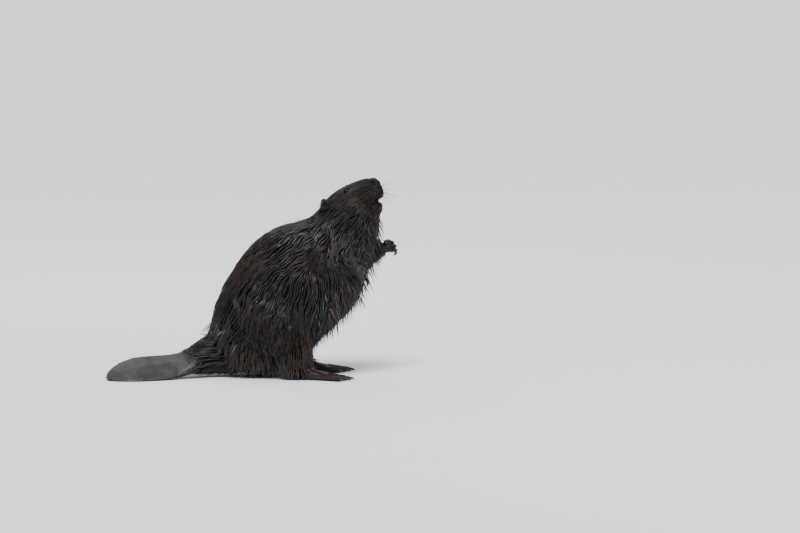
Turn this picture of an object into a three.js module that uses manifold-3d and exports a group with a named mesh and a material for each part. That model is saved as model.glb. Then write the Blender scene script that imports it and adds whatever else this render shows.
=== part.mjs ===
// An adult beaver rearing up on its hind feet, head raised, forepaws held before its chest and its flat
// tail laid behind it. Millimetres, +Z up, the animal faces +X and its right side is at -Y. The soles
// and the tail's lower edge rest on z = 0. Every solid reaches to the tips of the coat.
import * as THREE from "three";
import { mergeVertices } from "three/addons/utils/BufferGeometryUtils.js";
import Module from "manifold-3d";

const wasm = await Module();
wasm.setup();

// ---- driving dimensions ----
const GAP = 0.35; // between neighbouring solids
const EYE_R = 6.2;
const EYE_SINK = 3.6; // centre of the eyeball below the coat
const EAR = { thick: 8, long: 13.5, high: 15.5 }; // half sizes
const FOOT_YAW = 7; // degrees, hind toes turned out
const STANCE = 76; // heel to midline
const HEEL_X = 56;
const TOE_LENGTH = [46, 63, 75, 73, 60]; // inner to outer
const TOE_FAN = [-19, -9, 0, 9, 18]; // degrees
const TOE_ROOT_X = 98;
const TOE_R = 7.6;
const WEB_THICK = 3.6;
const FINGER_LENGTH = [17, 29, 33, 31, 25]; // thumb to little finger
const FINGER_FAN = [-34, -15, -2, 11, 24]; // degrees
const FINGER_R = 4.9;
const PALM = { long: 27, wide: 22, thick: 10.5 }; // length, half width, half thickness
const SIDES = { right: -1, left: 1 };

const MATERIALS = {
  coat: new THREE.MeshStandardMaterial({ color: 0x241f1e, roughness: 0.55, metalness: 0 }),
  foot_skin: new THREE.MeshStandardMaterial({ color: 0x2e2523, roughness: 0.6, metalness: 0 }),
  tail_scale: new THREE.MeshStandardMaterial({ color: 0x3a393b, roughness: 0.5, metalness: 0 }),
  claw_horn: new THREE.MeshStandardMaterial({ color: 0x16120f, roughness: 0.35, metalness: 0 }),
  enamel: new THREE.MeshStandardMaterial({ color: 0x8a5a2c, roughness: 0.35, metalness: 0 }),
  eye: new THREE.MeshStandardMaterial({ color: 0x050404, roughness: 0.08, metalness: 0 }),
};

const v3 = (x, y, z) => new THREE.Vector3(x, y, z);
const rad = THREE.MathUtils.degToRad;

// ---- lofts: closed skins over a row of slices ----
// A slice has a centre p, a half axis u (towards the back or top), a half axis s (sideways), a squareness
// (2 is an ellipse) and a skew (above 0 makes it wider away from u).

// A slice of the body between a point of the back line and one of the belly line, both in the side view.
function bodySlice([backX, backZ], [bellyX, bellyZ], halfWidth, skew = 0.08, square = 2.15) {
  const back = v3(backX, 0, backZ);
  const belly = v3(bellyX, 0, bellyZ);
  return {
    p: back.clone().add(belly).multiplyScalar(0.5),
    u: back.clone().sub(belly).multiplyScalar(0.5),
    s: v3(0, halfWidth, 0),
    skew,
    square,
  };
}

// Slices square to a path: each stop is [point, half depth, half width, roll in degrees].
function pathSlices(stops, up, square = 2.1) {
  const curve = new THREE.CatmullRomCurve3(stops.map(([point]) => point));
  return stops.map(([p, depth, width, roll = 0], i) => {
    const along = curve.getTangent(i / (stops.length - 1));
    const u = up.clone().addScaledVector(along, -up.dot(along)).normalize();
    u.applyAxisAngle(along, rad(roll));
    const s = along.clone().cross(u).normalize();
    return { p, u: u.multiplyScalar(depth), s: s.multiplyScalar(width), skew: 0, square };
  });
}

const spline = (slices, key) => new THREE.CatmullRomCurve3(slices.map((slice) => slice[key]), false, "catmullrom");

// The slice at t, counted in slices from the first.
function sliceAt(slices, t) {
  const last = slices.length - 1;
  const i = Math.min(Math.floor(t), last - 1);
  const mix = (key) => THREE.MathUtils.lerp(slices[i][key], slices[i + 1][key], t - i);
  return {
    p: spline(slices, "p").getPoint(t / last),
    u: spline(slices, "u").getPoint(t / last),
    s: spline(slices, "s").getPoint(t / last),
    skew: mix("skew"),
    square: mix("square"),
  };
}

function pointOnSlice({ p, u, s, skew, square }, angle, shrink = 1, grow = 0) {
  const bend = (x) => Math.sign(x) * Math.abs(x) ** (2 / square);
  const c = bend(Math.cos(angle)) * shrink;
  const w = bend(Math.sin(angle)) * shrink;
  const point = p.clone();
  point.addScaledVector(u, c * (1 + grow / u.length()));
  return point.addScaledVector(s, w * (1 - skew * c) * (1 + grow / s.length()));
}

// caps: how far the rounded ends stand out, 0 for a flat end.
function loft(slices, { from = 0, to = slices.length - 1, around = 16, steps = 8, caps = [0, 0], grow = 0 } = {}) {
  const CAP_RINGS = around > 10 ? 3 : 2;
  const cuts = Array.from({ length: steps + 1 }, (_, i) => sliceAt(slices, from + ((to - from) * i) / steps));
  const heading = (a, b) => b.p.clone().sub(a.p);
  const facing = (slice, way) => {
    const n = slice.u.clone().cross(slice.s).normalize();
    return n.dot(way) < 0 ? n.negate() : n;
  };
  const ring = (slice, shrink = 1, shift = v3(0, 0, 0)) =>
    Array.from({ length: around }, (_, k) => pointOnSlice(slice, (2 * Math.PI * k) / around, shrink, grow).add(shift));
  const cap = (slice, out, length) => {
    const rings = [];
    for (let j = 1; length > 0 && j < CAP_RINGS; j++) {
      const a = (j / CAP_RINGS) * (Math.PI / 2);
      rings.push(ring(slice, Math.cos(a), out.clone().multiplyScalar((length + grow) * Math.sin(a))));
    }
    return rings;
  };
  const first = cuts[0];
  const last = cuts[steps];
  const outFirst = facing(first, heading(cuts[1], first));
  const outLast = facing(last, heading(cuts[steps - 1], last));
  const rings = [
    ...cap(first, outFirst, caps[0]).reverse(),
    ...cuts.map((slice) => ring(slice)),
    ...cap(last, outLast, caps[1]),
  ];
  const poles = [
    first.p.clone().addScaledVector(outFirst, caps[0] + grow),
    last.p.clone().addScaledVector(outLast, caps[1] + grow),
  ];
  const points = [...rings.flat(), ...poles];
  const faces = [];
  for (let r = 0; r < rings.length - 1; r++)
    for (let k = 0; k < around; k++) {
      const [a, b] = [r * around + k, r * around + ((k + 1) % around)];
      faces.push([a, b, b + around], [a, b + around, a + around]);
    }
  const lastRing = (rings.length - 1) * around;
  for (let k = 0; k < around; k++) {
    faces.push([(k + 1) % around, k, points.length - 2]);
    faces.push([lastRing + k, lastRing + ((k + 1) % around), points.length - 1]);
  }
  return solidFrom(points, faces);
}

// ---- solids and meshes ----
function solidFrom(points, faces) {
  const volume = faces.reduce((sum, [a, b, c]) => sum + points[a].dot(points[b].clone().cross(points[c])), 0);
  const outward = volume < 0 ? faces.map(([a, b, c]) => [a, c, b]) : faces;
  const mesh = new wasm.Mesh({
    numProp: 3,
    vertProperties: new Float32Array(points.flatMap((point) => point.toArray())),
    triVerts: new Uint32Array(outward.flat()),
  });
  return new wasm.Manifold(mesh);
}

function solidOf(geometry) {
  const bare = geometry.clone();
  bare.deleteAttribute("normal");
  bare.deleteAttribute("uv");
  const merged = mergeVertices(bare, 1e-3);
  return new wasm.Manifold(
    new wasm.Mesh({
      numProp: 3,
      vertProperties: merged.attributes.position.array,
      triVerts: new Uint32Array(merged.index.array),
    }),
  );
}

// An ellipsoid with half sizes along three given directions.
function ellipsoid(centre, axes, radii, detail = [14, 9]) {
  const turn = new THREE.Matrix4().makeBasis(...axes.map((a, i) => a.clone().multiplyScalar(radii[i])));
  const geometry = new THREE.SphereGeometry(1, ...detail).applyMatrix4(turn.setPosition(centre));
  return solidOf(geometry);
}

// Three square directions: x as given, z near the given one.
function frameOf(x, near) {
  const a = x.clone().normalize();
  const b = near.clone().cross(a).normalize();
  return [a, b, a.clone().cross(b)];
}

const FLOOR_UP = [0, 0, 1];
const aboveFloor = (solid, height = 0) => solid.trimByPlane(FLOOR_UP, height);
const join = (solids) => solids.reduce((a, b) => a.add(b));
const without = (solid, others) => others.reduce((a, b) => a.subtract(b), solid);
const largest = (solid) => solid.decompose().reduce((a, b) => (a.volume() > b.volume() ? a : b));

const beaver = new THREE.Group();
const group = () => {
  const child = new THREE.Group();
  beaver.add(child);
  return child;
};
const trunk = group();
const headGroup = group();
const tail = group();

// Each mesh sits at the middle of its own box.
function place(parent, name, solid, material) {
  const { vertProperties, numProp, triVerts } = largest(solid).getMesh();
  if (numProp !== 3) throw new Error(`${name} has ${numProp} values a vertex`);
  const geometry = new THREE.BufferGeometry();
  geometry.setAttribute("position", new THREE.BufferAttribute(vertProperties, 3));
  geometry.setIndex(new THREE.BufferAttribute(triVerts, 1));
  geometry.computeBoundingBox();
  const centre = geometry.boundingBox.getCenter(v3(0, 0, 0));
  geometry.translate(-centre.x, -centre.y, -centre.z);
  geometry.computeVertexNormals();
  const mesh = new THREE.Mesh(geometry, MATERIALS[material]);
  mesh.name = name;
  mesh.position.copy(centre);
  parent.add(mesh);
}

// ---- trunk, neck and head: one row of slices, parted by thin gaps ----
const TRUNK = [
  bodySlice([-114, 42], [62, 44], 96, 0),
  bodySlice([-158, 98], [108, 72], 120),
  bodySlice([-164, 155], [144, 112], 131),
  bodySlice([-146, 217], [190, 157], 134),
  bodySlice([-116, 277], [231, 205], 128),
  bodySlice([-71, 343], [259, 265], 116),
  bodySlice([-13, 398], [278, 320], 102),
  bodySlice([45, 421], [289, 365], 88),
  bodySlice([89, 433], [296, 399], 77),
  bodySlice([120, 448], [302, 423], 70),
  bodySlice([141, 477], [305, 440], 66, 0.16, 2.2),
];
const HEAD = [
  TRUNK[10],
  bodySlice([166, 501], [297, 453], 64, 0.14, 2.2),
  bodySlice([190, 518], [288, 463], 57, 0, 2.2),
  bodySlice([215, 531], [277, 472], 48, -0.2, 2.15),
  bodySlice([239, 541], [285, 480], 41, -0.25, 2.15),
  bodySlice([262, 548], [296, 487], 37, -0.15, 2.2),
  bodySlice([283, 549], [308, 489.5], 33, 0, 2.3),
  bodySlice([297, 541], [311, 497.5], 26, 0.05, 2.3),
];
const TRUNK_PARTS = { rump: [0, 2], belly: [2, 5], chest: [5, 7.5], neck: [7.5, 10] };
const RINGS_PER_SLICE = 2;
const CUT = 0.012; // in slices, wide enough to leave GAP even on the short side
const HEAD_CAP = 5;
const RUMP_CAP = 30;

const grownTrunk = loft(TRUNK, { around: 22, steps: 10 * RINGS_PER_SLICE, caps: [RUMP_CAP, 0], grow: GAP });
for (const [name, [from, to]] of Object.entries(TRUNK_PARTS)) {
  const isRump = name === "rump";
  const part = loft(TRUNK, {
    from: isRump ? 0 : from + CUT / 2,
    to: to - CUT / 2,
    around: 22,
    steps: (to - from) * RINGS_PER_SLICE,
    caps: [isRump ? RUMP_CAP : 0, 0],
  });
  place(trunk, name, aboveFloor(part), "coat");
}

const headShape = (grow) => loft(HEAD, { from: CUT, around: 18, steps: 10, caps: [0, HEAD_CAP], grow });
const grownHead = headShape(GAP);

// A place on a loft: t in slices, angle in degrees from the back line, side -1 right or 1 left.
function onSurface(slices, t, angle, side) {
  const slice = sliceAt(slices, t);
  const at = (a) => pointOnSlice(slice, side * rad(a));
  const point = at(angle);
  const across = at(angle + 2).sub(at(angle - 2));
  const along = pointOnSlice(sliceAt(slices, t + 0.05), side * rad(angle)).sub(point);
  const normal = across.cross(along).normalize();
  if (normal.y * side < 0) normal.negate();
  return { point, normal, along: along.normalize() };
}

// Lower jaw, a little open.
const JAW = [
  bodySlice([256, 464], [299, 442], 38, 0),
  bodySlice([274, 473], [307, 453], 32, 0),
  bodySlice([288, 478], [309, 462], 25, 0),
  bodySlice([298.5, 480], [310, 471], 15, 0),
];
const jawShape = (grow) => loft(JAW, { around: 14, steps: 5, caps: [0, 4], grow });
place(headGroup, "lower_jaw", without(jawShape(0), [grownTrunk]), "coat");

// Nostrils: slanting dents on the sides of the nose.
const nostrils = Object.values(SIDES).map((side) => {
  const { point, normal, along } = onSurface(HEAD, 5.75, 47, side);
  return ellipsoid(point, frameOf(along, normal), [5.5, 3.2, 3.5], [8, 5]);
});
const eyes = Object.values(SIDES).map((side) => {
  const { point, normal } = onSurface(HEAD, 2.42, 44, side);
  return point.addScaledVector(normal, -EYE_SINK);
});
const eyeball = (centre, r) => solidOf(new THREE.SphereGeometry(r, 10, 6).translate(...centre.toArray()));
const sockets = eyes.map((centre) => eyeball(centre, EYE_R + GAP));
const head = without(headShape(0), [...nostrils, ...sockets, jawShape(GAP)]);
place(headGroup, "head", head, "coat");
Object.keys(SIDES).forEach((name, i) => place(headGroup, `eye_${name}`, eyeball(eyes[i], EYE_R), "eye"));

// Ears: short rounded cups, opening forwards and out.
for (const [name, side] of Object.entries(SIDES)) {
  const { point, normal } = onSurface(TRUNK, 9.9, 35, side);
  const opening = v3(0.62, side * 0.72, 0.3).normalize();
  const rise = v3(-0.35, side * 0.25, 1).normalize();
  const axes = frameOf(opening, rise);
  const centre = point.clone().addScaledVector(normal, 3).addScaledVector(rise, 1);
  const shell = ellipsoid(centre, axes, [EAR.thick, EAR.long, EAR.high], [10, 7]);
  const bowlCentre = centre.clone().addScaledVector(opening, EAR.thick).addScaledVector(rise, 1.5);
  const bowl = ellipsoid(bowlCentre, axes, [EAR.thick, EAR.long - 4, EAR.high - 4], [8, 5]);
  place(headGroup, `ear_${name}`, without(shell, [bowl, grownHead, grownTrunk]), "coat");
}

// The chisel teeth that show in the open mouth.
const teeth = {
  incisors_upper: { root: v3(297, 0, 503), tip: v3(300, 0, 484.5), from: grownHead },
  incisors_lower: { root: v3(298, 0, 470), tip: v3(296.5, 0, 487), from: jawShape(GAP) },
};
for (const [name, { root, tip, from }] of Object.entries(teeth)) {
  const stops = [
    [root, 3, 6],
    [root.clone().lerp(tip, 0.6), 2.7, 5.8],
    [tip, 1.1, 5.2],
  ];
  const blade = loft(pathSlices(stops, v3(1, 0, 0), 4), { around: 8, steps: 2 });
  place(headGroup, name, without(blade, [from, grownHead]), "enamel");
}

// ---- tail: a thick furred root, then the flat scaly blade, its right edge on the floor ----
const TAIL = pathSlices(
  [
    [v3(-58, 2, 84), 60, 62],
    [v3(-128, -5, 68), 58, 58, -3],
    [v3(-172, -14, 58), 52, 53, -8],
    [v3(-203, -24, 48), 36, 50, -16],
    [v3(-232, -35, 39), 20, 49, -24],
    [v3(-268, -49, 32), 12.5, 52, -29],
    [v3(-312, -66, 28.8), 9.5, 57, -30],
    [v3(-358, -82, 27.2), 7.5, 57, -29],
    [v3(-400, -95, 20.8), 5.8, 47, -27],
    [v3(-428, -103, 12.6), 4.2, 31, -24],
    [v3(-442, -107, 6.5), 3, 14, -20],
  ],
  v3(0, 0, 1),
  2.2,
);
const FUR_END = 3.35; // where the furred root gives way to scales, in slices
const tailRoot = loft(TAIL, { to: FUR_END, around: 18, steps: 5 });
place(tail, "tail_root", aboveFloor(without(tailRoot, [grownTrunk])), "coat");
const blade = loft(TAIL, { from: FUR_END + 0.02, around: 18, steps: 9, caps: [0, 3] });
place(tail, "tail_blade", aboveFloor(without(blade, [grownTrunk])), "tail_scale");
const grownTail = loft(TAIL, { to: FUR_END, around: 18, steps: 5, grow: GAP });

// ---- hind legs ----
const mirrored = (x, y, z, side) => v3(x, y * side, z);

function thighSlices(side) {
  const stops = [
    [mirrored(-78, 62, 190, side), 62, 34],
    [mirrored(-42, 84, 166, side), 84, 47],
    [mirrored(6, 97, 140, side), 84, 50],
    [mirrored(50, 101, 120, side), 66, 44],
    [mirrored(84, 98, 106, side), 42, 33],
  ];
  return pathSlices(stops, v3(0, 0, 1));
}

function shankSlices(side) {
  const stops = [
    [mirrored(72, 98, 112, side), 44, 38],
    [mirrored(63, 93, 76, side), 54, 38],
    [mirrored(67, 85, 44, side), 49, 33],
    [mirrored(82, STANCE + 1, 12, side), 34, 27],
  ];
  return pathSlices(stops, v3(1, 0, 0));
}

// A point of the foot's own frame (forwards from the heel, outwards, up) in the body's frame.
function footPoint(side, forward, out, up) {
  const yaw = rad(FOOT_YAW);
  const x = HEEL_X + forward * Math.cos(yaw) - out * Math.sin(yaw);
  const y = STANCE + forward * Math.sin(yaw) + out * Math.cos(yaw);
  return v3(x, y * side, up);
}

const toeRootOut = (i) => (i - 2) * 11.5;
function toePoint(side, i, reach, up) {
  const fan = rad(TOE_FAN[i]);
  const rootX = TOE_ROOT_X - 3 * Math.abs(i - 2);
  return footPoint(side, rootX + reach * Math.cos(fan), toeRootOut(i) + reach * Math.sin(fan), up);
}

function toeSlices(side, i) {
  const long = TOE_LENGTH[i];
  const stops = [
    [toePoint(side, i, -16, 10), TOE_R + 1, TOE_R],
    [toePoint(side, i, long * 0.3, 11.5), TOE_R, TOE_R - 0.4],
    [toePoint(side, i, long * 0.62, 8.2), TOE_R - 1.4, TOE_R - 1],
    [toePoint(side, i, long * 0.88, 6.6), TOE_R - 2, TOE_R - 1.5],
  ];
  return pathSlices(stops, v3(0, 0, 1));
}

// The web: a thin fan between the toes, its free edge scooped between each pair.
function webSolid(side) {
  const reach = (i) => TOE_LENGTH[i] * 0.84;
  const flat = (i, r) => toePoint(side, i, r, 0);
  const outline = new THREE.Shape();
  const start = flat(0, -12);
  outline.moveTo(start.x, start.y);
  outline.lineTo(flat(0, reach(0)).x, flat(0, reach(0)).y);
  for (let i = 0; i < 4; i++) {
    const next = flat(i + 1, reach(i + 1));
    const scoop = flat(i, reach(i) * 0.86).lerp(flat(i + 1, reach(i + 1) * 0.86), 0.5);
    outline.quadraticCurveTo(scoop.x, scoop.y, next.x, next.y);
  }
  outline.lineTo(flat(4, -12).x, flat(4, -12).y);
  const web = new THREE.ExtrudeGeometry(outline, { depth: WEB_THICK, bevelEnabled: false, curveSegments: 3 });
  return solidOf(web.translate(0, 0, 2.2));
}

function footSolid(side, grow) {
  const sole = pathSlices(
    [
      [footPoint(side, 4, -1, 15), 16, 15],
      [footPoint(side, 34, -1, 17), 18, 20],
      [footPoint(side, 68, 0, 14), 15, 25],
      [footPoint(side, 98, 0, 10), 11.5, 31],
    ],
    v3(0, 0, 1),
    2.3,
  );
  const toes = TOE_LENGTH.map((_, i) => loft(toeSlices(side, i), { around: 6, steps: 3, caps: [0, 3], grow }));
  return join([loft(sole, { around: 10, steps: 3, caps: [9, 9], grow }), webSolid(side), ...toes]);
}

// A claw that grows from a tip along a direction and bends down.
function clawSolid(root, along, down, length, high, wide) {
  const at = (t) =>
    root.clone().addScaledVector(along, length * (t - 0.25)).addScaledVector(down, 0.22 * length * t * t);
  const stops = [
    [at(0), high, wide],
    [at(0.5), high * 0.72, wide * 0.8],
    [at(0.95), high * 0.25, wide * 0.3],
  ];
  return loft(pathSlices(stops, down.clone().negate()), { around: 5, steps: 2 });
}

for (const [name, side] of Object.entries(SIDES)) {
  const leg = group();
  const thighShape = (grow) => loft(thighSlices(side), { around: 16, steps: 5, caps: [20, 24], grow });
  const shankShape = (grow) => loft(shankSlices(side), { around: 14, steps: 4, caps: [8, 6], grow });
  const [thigh, grownThigh] = [thighShape(0), thighShape(GAP)];
  const [shank, grownShank] = [shankShape(0), shankShape(GAP)];
  place(leg, `thigh_${name}`, aboveFloor(without(thigh, [grownTrunk, grownTail])), "coat");
  place(leg, `shank_${name}`, aboveFloor(without(shank, [grownTrunk, grownTail, grownThigh])), "coat");
  const foot = without(footSolid(side, 0), [grownTrunk, grownThigh, grownShank]);
  place(leg, `hind_foot_${name}`, aboveFloor(foot), "foot_skin");
  const grownFoot = footSolid(side, GAP);
  TOE_LENGTH.forEach((long, i) => {
    const root = toePoint(side, i, long * 0.93, 7);
    const along = toePoint(side, i, long, 7).sub(root).normalize();
    const claw = clawSolid(root, along, v3(0, 0, -1), 15, 4.2, 4.6);
    place(leg, `claw_hind_${name}_${i + 1}`, aboveFloor(without(claw, [grownFoot]), 1), "claw_horn");
  });
}

// ---- arms: the right one held against the chest, the left one reaching out ----
const ARMS = {
  right: {
    upper: [
      [v3(122, -50, 385), 46, 34],
      [v3(138, -84, 344), 42, 30],
      [v3(140, -97, 312), 36, 27],
    ],
    fore: [
      [v3(138, -98, 302), 29, 25],
      [v3(172, -96, 303), 28, 23],
      [v3(205, -88, 308), 21, 18],
      [v3(229, -80, 309), 13.5, 13.5],
    ],
    wrist: v3(230, -80, 308),
    forward: v3(0.86, 0.16, -0.42),
    palmFaces: v3(-0.18, 0.86, -0.46),
    curl: [14, 20, 24, 26, 26],
  },
  left: {
    upper: [
      [v3(126, 50, 385), 46, 34],
      [v3(168, 82, 352), 42, 30],
      [v3(206, 90, 326), 36, 27],
    ],
    fore: [
      [v3(214, 88, 320), 34, 25],
      [v3(252, 79, 330), 38, 22],
      [v3(284, 68, 342), 34, 19],
      [v3(307, 60, 349), 25, 16],
    ],
    wrist: v3(311, 60, 347),
    forward: v3(0.92, -0.12, 0.38),
    palmFaces: v3(-0.05, -0.87, -0.5),
    curl: [48, 38, 40, 44, 50],
  },
};

// Joints of a finger: root, two knuckles and the tip, curling towards the palm.
function fingerJoints({ wrist, forward, palmFaces, curl }, i) {
  const [ahead, across, palm] = handFrame(forward, palmFaces);
  const fan = rad(FINGER_FAN[i]);
  const root = wrist.clone().addScaledVector(ahead, i ? PALM.long * 0.82 : PALM.long * 0.45);
  root.addScaledVector(across, (i - 2) * PALM.wide * 0.42).addScaledVector(palm, i ? 0 : 2);
  const joints = [root];
  const reach = ahead.clone().multiplyScalar(Math.cos(fan)).addScaledVector(across, Math.sin(fan));
  for (let j = 1; j <= 3; j++) {
    const bend = rad(curl[i] * (j - 0.4));
    const way = reach.clone().multiplyScalar(Math.cos(bend)).addScaledVector(palm, Math.sin(bend));
    joints.push(joints[j - 1].clone().addScaledVector(way, FINGER_LENGTH[i] / 3));
  }
  return { joints, palm };
}

// Forwards, across from thumb to little finger, and out of the palm.
function handFrame(forward, palmFaces) {
  const ahead = forward.clone().normalize();
  const palm = palmFaces.clone().addScaledVector(ahead, -palmFaces.dot(ahead)).normalize();
  const across = ahead.clone().cross(palm);
  return [ahead, across.z > 0 ? across.negate() : across, palm];
}

function handSolid(arm, grow) {
  const [ahead, , palm] = handFrame(arm.forward, arm.palmFaces);
  const at = (t) => arm.wrist.clone().addScaledVector(ahead, PALM.long * t);
  const palmSlices = pathSlices(
    [
      [at(-0.25), PALM.thick + 1, 12],
      [at(0.25), PALM.thick + 0.5, 15.5],
      [at(0.7), PALM.thick, PALM.wide],
      [at(1), PALM.thick - 3, PALM.wide - 1],
    ],
    palm.clone().negate(),
    2.3,
  );
  const fingers = FINGER_LENGTH.map((_, i) => {
    const { joints } = fingerJoints(arm, i);
    const stops = joints.map((p, j) => [p, FINGER_R - 0.45 * j, FINGER_R - 0.35 * j]);
    return loft(pathSlices(stops, palm.clone().negate()), { around: 6, steps: 3, caps: [0, 2.5], grow });
  });
  return join([loft(palmSlices, { around: 10, steps: 3, caps: [5, 5], grow }), ...fingers]);
}

for (const [name, arm] of Object.entries(ARMS)) {
  const limb = group();
  const up = v3(1, 0, 0.4);
  const upper = (grow) => loft(pathSlices(arm.upper, up), { around: 16, steps: 4, caps: [22, 22], grow });
  const fore = (grow) => loft(pathSlices(arm.fore, v3(0, 0, 1)), { around: 14, steps: 4, caps: [16, 3], grow });
  place(limb, `upper_arm_${name}`, without(upper(0), [grownTrunk]), "coat");
  place(limb, `forearm_${name}`, without(fore(0), [grownTrunk, upper(GAP)]), "coat");
  const covered = [grownTrunk, upper(GAP), fore(GAP)];
  place(limb, `forepaw_${name}`, without(handSolid(arm, 0), covered), "foot_skin");
  const grownHand = handSolid(arm, GAP);
  for (let i = 1; i < FINGER_LENGTH.length; i++) {
    const { joints, palm } = fingerJoints(arm, i);
    const along = joints[3].clone().sub(joints[2]).normalize();
    const claw = clawSolid(joints[3].clone().addScaledVector(palm, -0.6), along, palm, 13, 2.7, 2.3);
    place(limb, `claw_fore_${name}_${i + 1}`, without(claw, [grownHand, ...covered]), "claw_horn");
  }
}

// The origin goes under the middle of the whole animal's box.
const box = new THREE.Box3().setFromObject(beaver);
const middle = box.getCenter(v3(0, 0, 0));
beaver.position.set(-middle.x, -middle.y, 0);

export default beaver;
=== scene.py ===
"""The looks of a rearing wet beaver: skin, coat, scaly tail, eyes, teeth, claws and whiskers."""

import copy
import math

import bmesh
import bpy
import numpy as np
from bpy.props import FloatProperty, FloatVectorProperty, IntProperty, PointerProperty
from mathutils import Matrix, Vector
from mathutils.bvhtree import BVHTree


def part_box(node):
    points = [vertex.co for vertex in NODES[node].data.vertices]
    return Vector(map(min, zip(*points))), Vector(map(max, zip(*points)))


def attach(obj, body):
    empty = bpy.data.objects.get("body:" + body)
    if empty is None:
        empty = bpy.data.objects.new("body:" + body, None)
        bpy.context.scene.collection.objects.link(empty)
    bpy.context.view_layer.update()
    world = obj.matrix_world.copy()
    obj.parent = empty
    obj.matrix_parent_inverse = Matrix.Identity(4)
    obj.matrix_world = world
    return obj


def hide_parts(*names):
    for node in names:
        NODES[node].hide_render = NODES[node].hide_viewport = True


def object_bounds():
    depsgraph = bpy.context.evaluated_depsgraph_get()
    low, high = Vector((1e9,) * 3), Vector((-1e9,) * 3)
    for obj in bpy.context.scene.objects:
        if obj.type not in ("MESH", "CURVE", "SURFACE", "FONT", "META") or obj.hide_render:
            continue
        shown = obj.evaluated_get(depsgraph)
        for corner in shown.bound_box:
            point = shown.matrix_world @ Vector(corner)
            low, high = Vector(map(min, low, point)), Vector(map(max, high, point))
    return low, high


bl_info = {
    "name": "Rearing Beaver",
    "version": (1, 0, 0),
    "blender": (4, 5, 0),
    "location": "3D View > Sidebar > Beaver",
    "description": "Builds the skin, wet coat and small parts of a rearing beaver around its solid frame",
    "category": "Add Mesh",
}

MM = 0.001
BODY = "root"
SIDES = {"right": -1, "left": 1}

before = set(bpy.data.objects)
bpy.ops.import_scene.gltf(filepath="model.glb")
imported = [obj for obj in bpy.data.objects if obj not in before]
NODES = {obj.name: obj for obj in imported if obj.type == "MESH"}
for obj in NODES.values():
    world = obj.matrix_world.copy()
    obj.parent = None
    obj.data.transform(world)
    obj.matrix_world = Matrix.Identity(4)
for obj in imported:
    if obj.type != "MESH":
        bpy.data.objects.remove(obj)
CAD_BOX = [list(corner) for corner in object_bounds()]


def middle(node):
    """The middle of a solid's box."""
    low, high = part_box(node)
    return (low + high) / 2


# ---- where things are, from the frame ----
HEAD_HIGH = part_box("head")[1]
NECK = middle("neck")
NOSE = Vector((HEAD_HIGH.x - 6 * MM, 0, HEAD_HIGH.z - 24 * MM))
NOSE_PAD = Vector((HEAD_HIGH.x - 22 * MM, 0, HEAD_HIGH.z - 9 * MM))
NOSE_PAD_SIZE = (20 * MM, 28 * MM, 17 * MM)
# The gape of the mouth: its corner, and the middle of its front.
GAPE = [Vector((325 * MM, 0, 473 * MM)), Vector((351 * MM, 0, 485 * MM))]
# The tongue, the inner lips that close behind the front teeth, and the gum: middle and half sizes (mm).
MOUTH_LINING = [
    ((330, 0, 475.5), (15, 23, 10)),
    ((340, 13.5, 482.5), (9.5, 6.5, 11)),
    ((340, -13.5, 482.5), (9.5, 6.5, 11)),
    ((338, 0, 486), (7.5, 9, 10)),
]
# Swellings of each half of the face: how far behind the tip of the nose and outwards (mm), height (m),
# radius and rise (mm).
FACE_SWELLINGS = {
    "cheek": (78, 54, 478 * MM, 34, 5),
    "brow": (98, 30, 528 * MM, 18, 2.0),
    "whisker_pad": (12, 22, 506 * MM, 20, 3.0),
    "nose_wing": (40, 24, HEAD_HIGH.z - 17 * MM, 9, 1.8),
}
TAIL_WAY = (middle("tail_blade") - middle("tail_root")).normalized()

EYE_NODES = ["eye_right", "eye_left"]
TOOTH_NODES = ["incisors_upper", "incisors_lower"]
CLAW_NODES = sorted(n for n in NODES if n.startswith("claw_"))
FLESH_NODES = sorted(set(NODES) - set(EYE_NODES + TOOTH_NODES + CLAW_NODES))

# The coat on each kind of skin: its depth, the length of a lock, the width of a hair, the space between
# rows and between locks of a row (mm), hairs in a lock, how brown it is, and how far tips stand off, as a
# share of the depth.
DEPTH, LENGTH, WIDTH, ROW_GAP, LOCK_GAP, HAIRS, TINT, STAND = range(8)
COAT = {
    "chest": (8.0, 48, 1.6, 5.6, 16, 3, 0.06, 0.75),
    "belly": (8.5, 50, 1.6, 5.8, 17, 3, 0.05, 0.75),
    "rump": (8.5, 48, 1.6, 5.6, 17, 3, 0.06, 0.78),
    "neck": (7.0, 38, 1.3, 4.6, 14, 3, 0.06, 0.68),
    "head": (3.0, 13, 0.9, 2.8, 6, 2, 0.30, 0.35),
    "lower_jaw": (2.2, 15, 1.1, 3.4, 7, 3, 0.35, 0.9),
    "tail_root": (5.5, 42, 1.3, 5.0, 14, 4, 0.00, 0.45),
    "thigh": (7.5, 20, 0.9, 2.8, 8, 2, 0.28, 0.30),
    "shank": (6.0, 30, 1.5, 6.4, 12, 5, 0.65, 1.00),
    "upper_arm": (6.5, 24, 1.0, 3.2, 10, 2, 0.50, 0.40),
    "forearm": (4.0, 20, 1.3, 4.8, 9, 3, 0.25, 0.85),
    "ear": (0.3, 6, 0.7, 1.5, 3, 1, 0.3, 2.2),
    "hind_foot": (0.3, 9, 0.9, 2.6, 5, 1, 0.6, 2.6),
    "forepaw": (0.3, 7, 0.8, 1.9, 4, 1, 0.3, 2.6),
    "tail_blade": (0.3, 6, 1.0, 9.0, 9, 1, 0.2, 1.0),
}
# The short dense fur between the locks: the same from lock length to hairs in a lock, and how far the
# tips stand off.
UNDERFUR, UNDERFUR_STAND = (20, 1.5, 3.4, 9, 1), 0.15
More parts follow.
